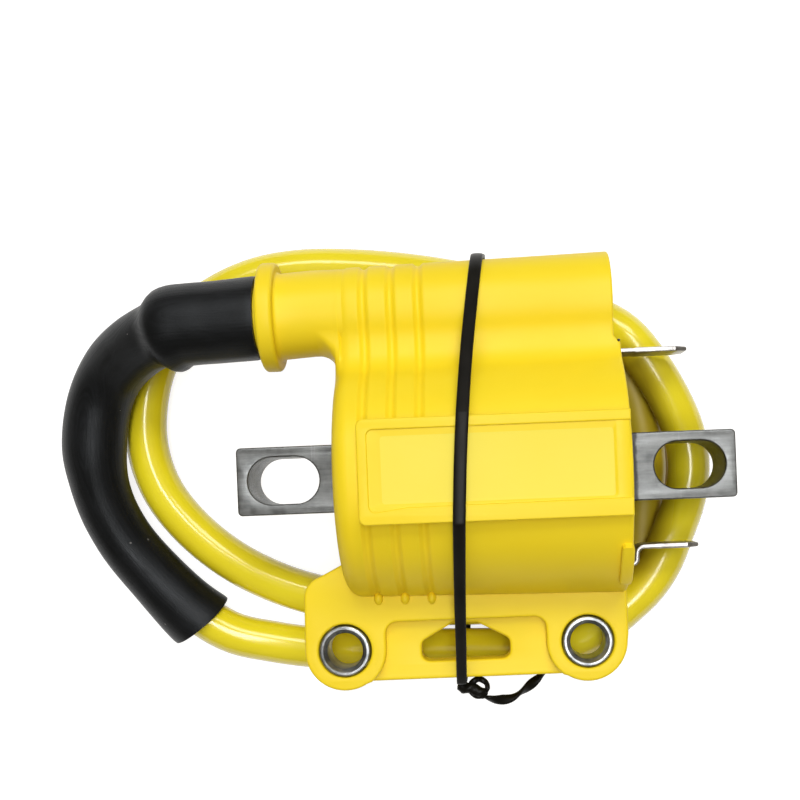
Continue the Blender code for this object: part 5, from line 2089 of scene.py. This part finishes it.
# ---- Studio ----
@dataclass
class Studio:
    """White table, soft lamps and the camera of the photograph."""

    focal_px: float = 1190.0
    frame_px: float = 800.0
    centre_px: Point2 = (487.5, 490.0)
    camera_mm: Point3 = (0.0, -2.7, 206.5)
    roll_deg: float = 2.3
    sensor_mm: float = 36.0
    floor_half_m: float = 1.6
    floor_z_m: float = -0.0002
    aim_m: Point3 = (0.0, 0.0, 0.02)
    lamps: tuple[tuple[str, Point3, Point2, float], ...] = (
        ("rear_strip", (0.03, 0.50, 0.74), (0.60, 0.24), 3.2),
        ("overhead_strip", (0.06, 0.0, 0.92), (0.60, 0.15), 3.9),
        ("broad_fill", (0.10, 0.14, 0.95), (0.9, 0.9), 0.7))
    sky: Point3 = (1.0, 0.88, 0.70)
    sky_strength: float = 0.24

    def camera(self) -> None:
        """Camera straight above the coil, with the photograph's framing."""
        data = bpy.data.cameras.new("photo_camera")
        data.sensor_width = self.sensor_mm
        data.lens = self.focal_px / self.frame_px * self.sensor_mm
        data.shift_x = (self.frame_px / 2.0 - self.centre_px[0]) / self.frame_px
        data.shift_y = (self.centre_px[1] - self.frame_px / 2.0) / self.frame_px
        data.clip_start, data.clip_end = 0.01, 10.0
        camera = put("photo_camera", data)
        camera.location = packed(self.camera_mm)
        camera.rotation_euler = (0.0, 0.0, -radians(self.roll_deg))
        bpy.context.scene.camera = camera

    def lamp(self, name: str, place: Point3, size: Point2, power: float) -> None:
        """One soft rectangular lamp, aimed at the coil.

        Args:
            name: Name of the lamp.
            place: Where it hangs, in metres.
            size: Width and height in metres.
            power: Power in watts.
        """
        data = bpy.data.lights.new(name, "AREA")
        data.shape = "RECTANGLE"
        data.size, data.size_y = size
        data.energy = power
        lamp = put(name, data)
        lamp.location = place
        aim = Vector(self.aim_m) - Vector(place)
        lamp.rotation_euler = aim.to_track_quat("-Z", "Y").to_euler()

    def floor(self) -> None:
        """White table that keeps the coil's shadow."""
        bm = bmesh.new()
        bmesh.ops.create_grid(bm, x_segments=2, y_segments=2, size=self.floor_half_m)
        mesh = bpy.data.meshes.new("table_top")
        bm.to_mesh(mesh)
        bm.free()
        mesh.materials.append(TableWhite("table_white").build())
        table = put("table_top", mesh)
        table.location = (0.0, 0.0, self.floor_z_m)

    def world(self) -> None:
        """Even pale surroundings, white to the camera."""
        world = bpy.data.worlds.new("studio_world")
        world.use_nodes = True
        w = Wiring(world.node_tree)
        seen = w.add("ShaderNodeLightPath").outputs["Is Camera Ray"]
        w.feed(world.node_tree.nodes["Background"],
               {"Color": w.mix(seen, self.sky, (1.0, 1.0, 1.0)),
                "Strength": w.spread(seen, 0.0, 1.0, self.sky_strength, 1.0)})
        bpy.context.scene.world = world

    def build(self) -> None:
        """Set up camera, lamps, table and colour management."""
        self.camera()
        self.world()
        self.floor()
        for settings in self.lamps:
            self.lamp(*settings)
        bpy.context.scene.view_settings.view_transform = "Standard"


# ---- Assembly ----
def dress_packed_nodes(nodes: dict[str, Object], finishes: dict[str, Material]) -> None:
    """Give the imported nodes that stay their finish.

    Args:
        nodes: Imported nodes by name.
        finishes: The coil's materials by name.
    """
    chosen = {"primary_bobbin": "bobbin", "secondary_bobbin": "bobbin",
              "layer_insulation": "wrap", "ht_contact": "brass"}
    for name, node in nodes.items():
        wound = "winding" in name or name.endswith("_wire")
        material = finishes[chosen.get(name, "copper" if wound else "case")]
        node.data.materials.clear()
        node.data.materials.append(material)


def build_lead_set(finishes: dict[str, Material]) -> None:
    """Make the lead, its strands, the sleeve and the tie.

    Args:
        finishes: The coil's materials by name.
    """
    path = SmoothPath(LEAD_ROUTE)
    maker = HighTensionLead(finishes["lead"], finishes["copper"])
    lead = maker.build(path)
    strands = maker.conductor(path)
    sleeve = RubberSleeve(finishes["sleeve"]).build(path)
    tie = TwistTie(finishes["tie"]).build()


def main() -> None:
    """Build the coil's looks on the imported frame."""
    logging.basicConfig(level=logging.INFO, format="%(name)s: %(message)s")
    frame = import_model()
    Studio().build()
    finishes = {name: finish.build() for name, finish in FINISHES.items()}
    dress_packed_nodes(frame["nodes"], finishes)
    build_lead_set(finishes)
    yellow = finishes["case"]
    shell = CaseShell(yellow)
    for maker in (shell, CaseTower(yellow, shell), MountingFlange(yellow),
                  LabelFrame(yellow, finishes["panel"]),
                  CaseDetails(yellow, finishes["resin"], shell), CoreStack(finishes["core"]),
                  EarBushings(finishes["zinc"]), BladeTerminals(finishes["tin"]),
                  ResinFill(finishes["resin"], shell)):
        maker.build()
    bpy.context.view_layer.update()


if __name__ == "__main__":
    main()
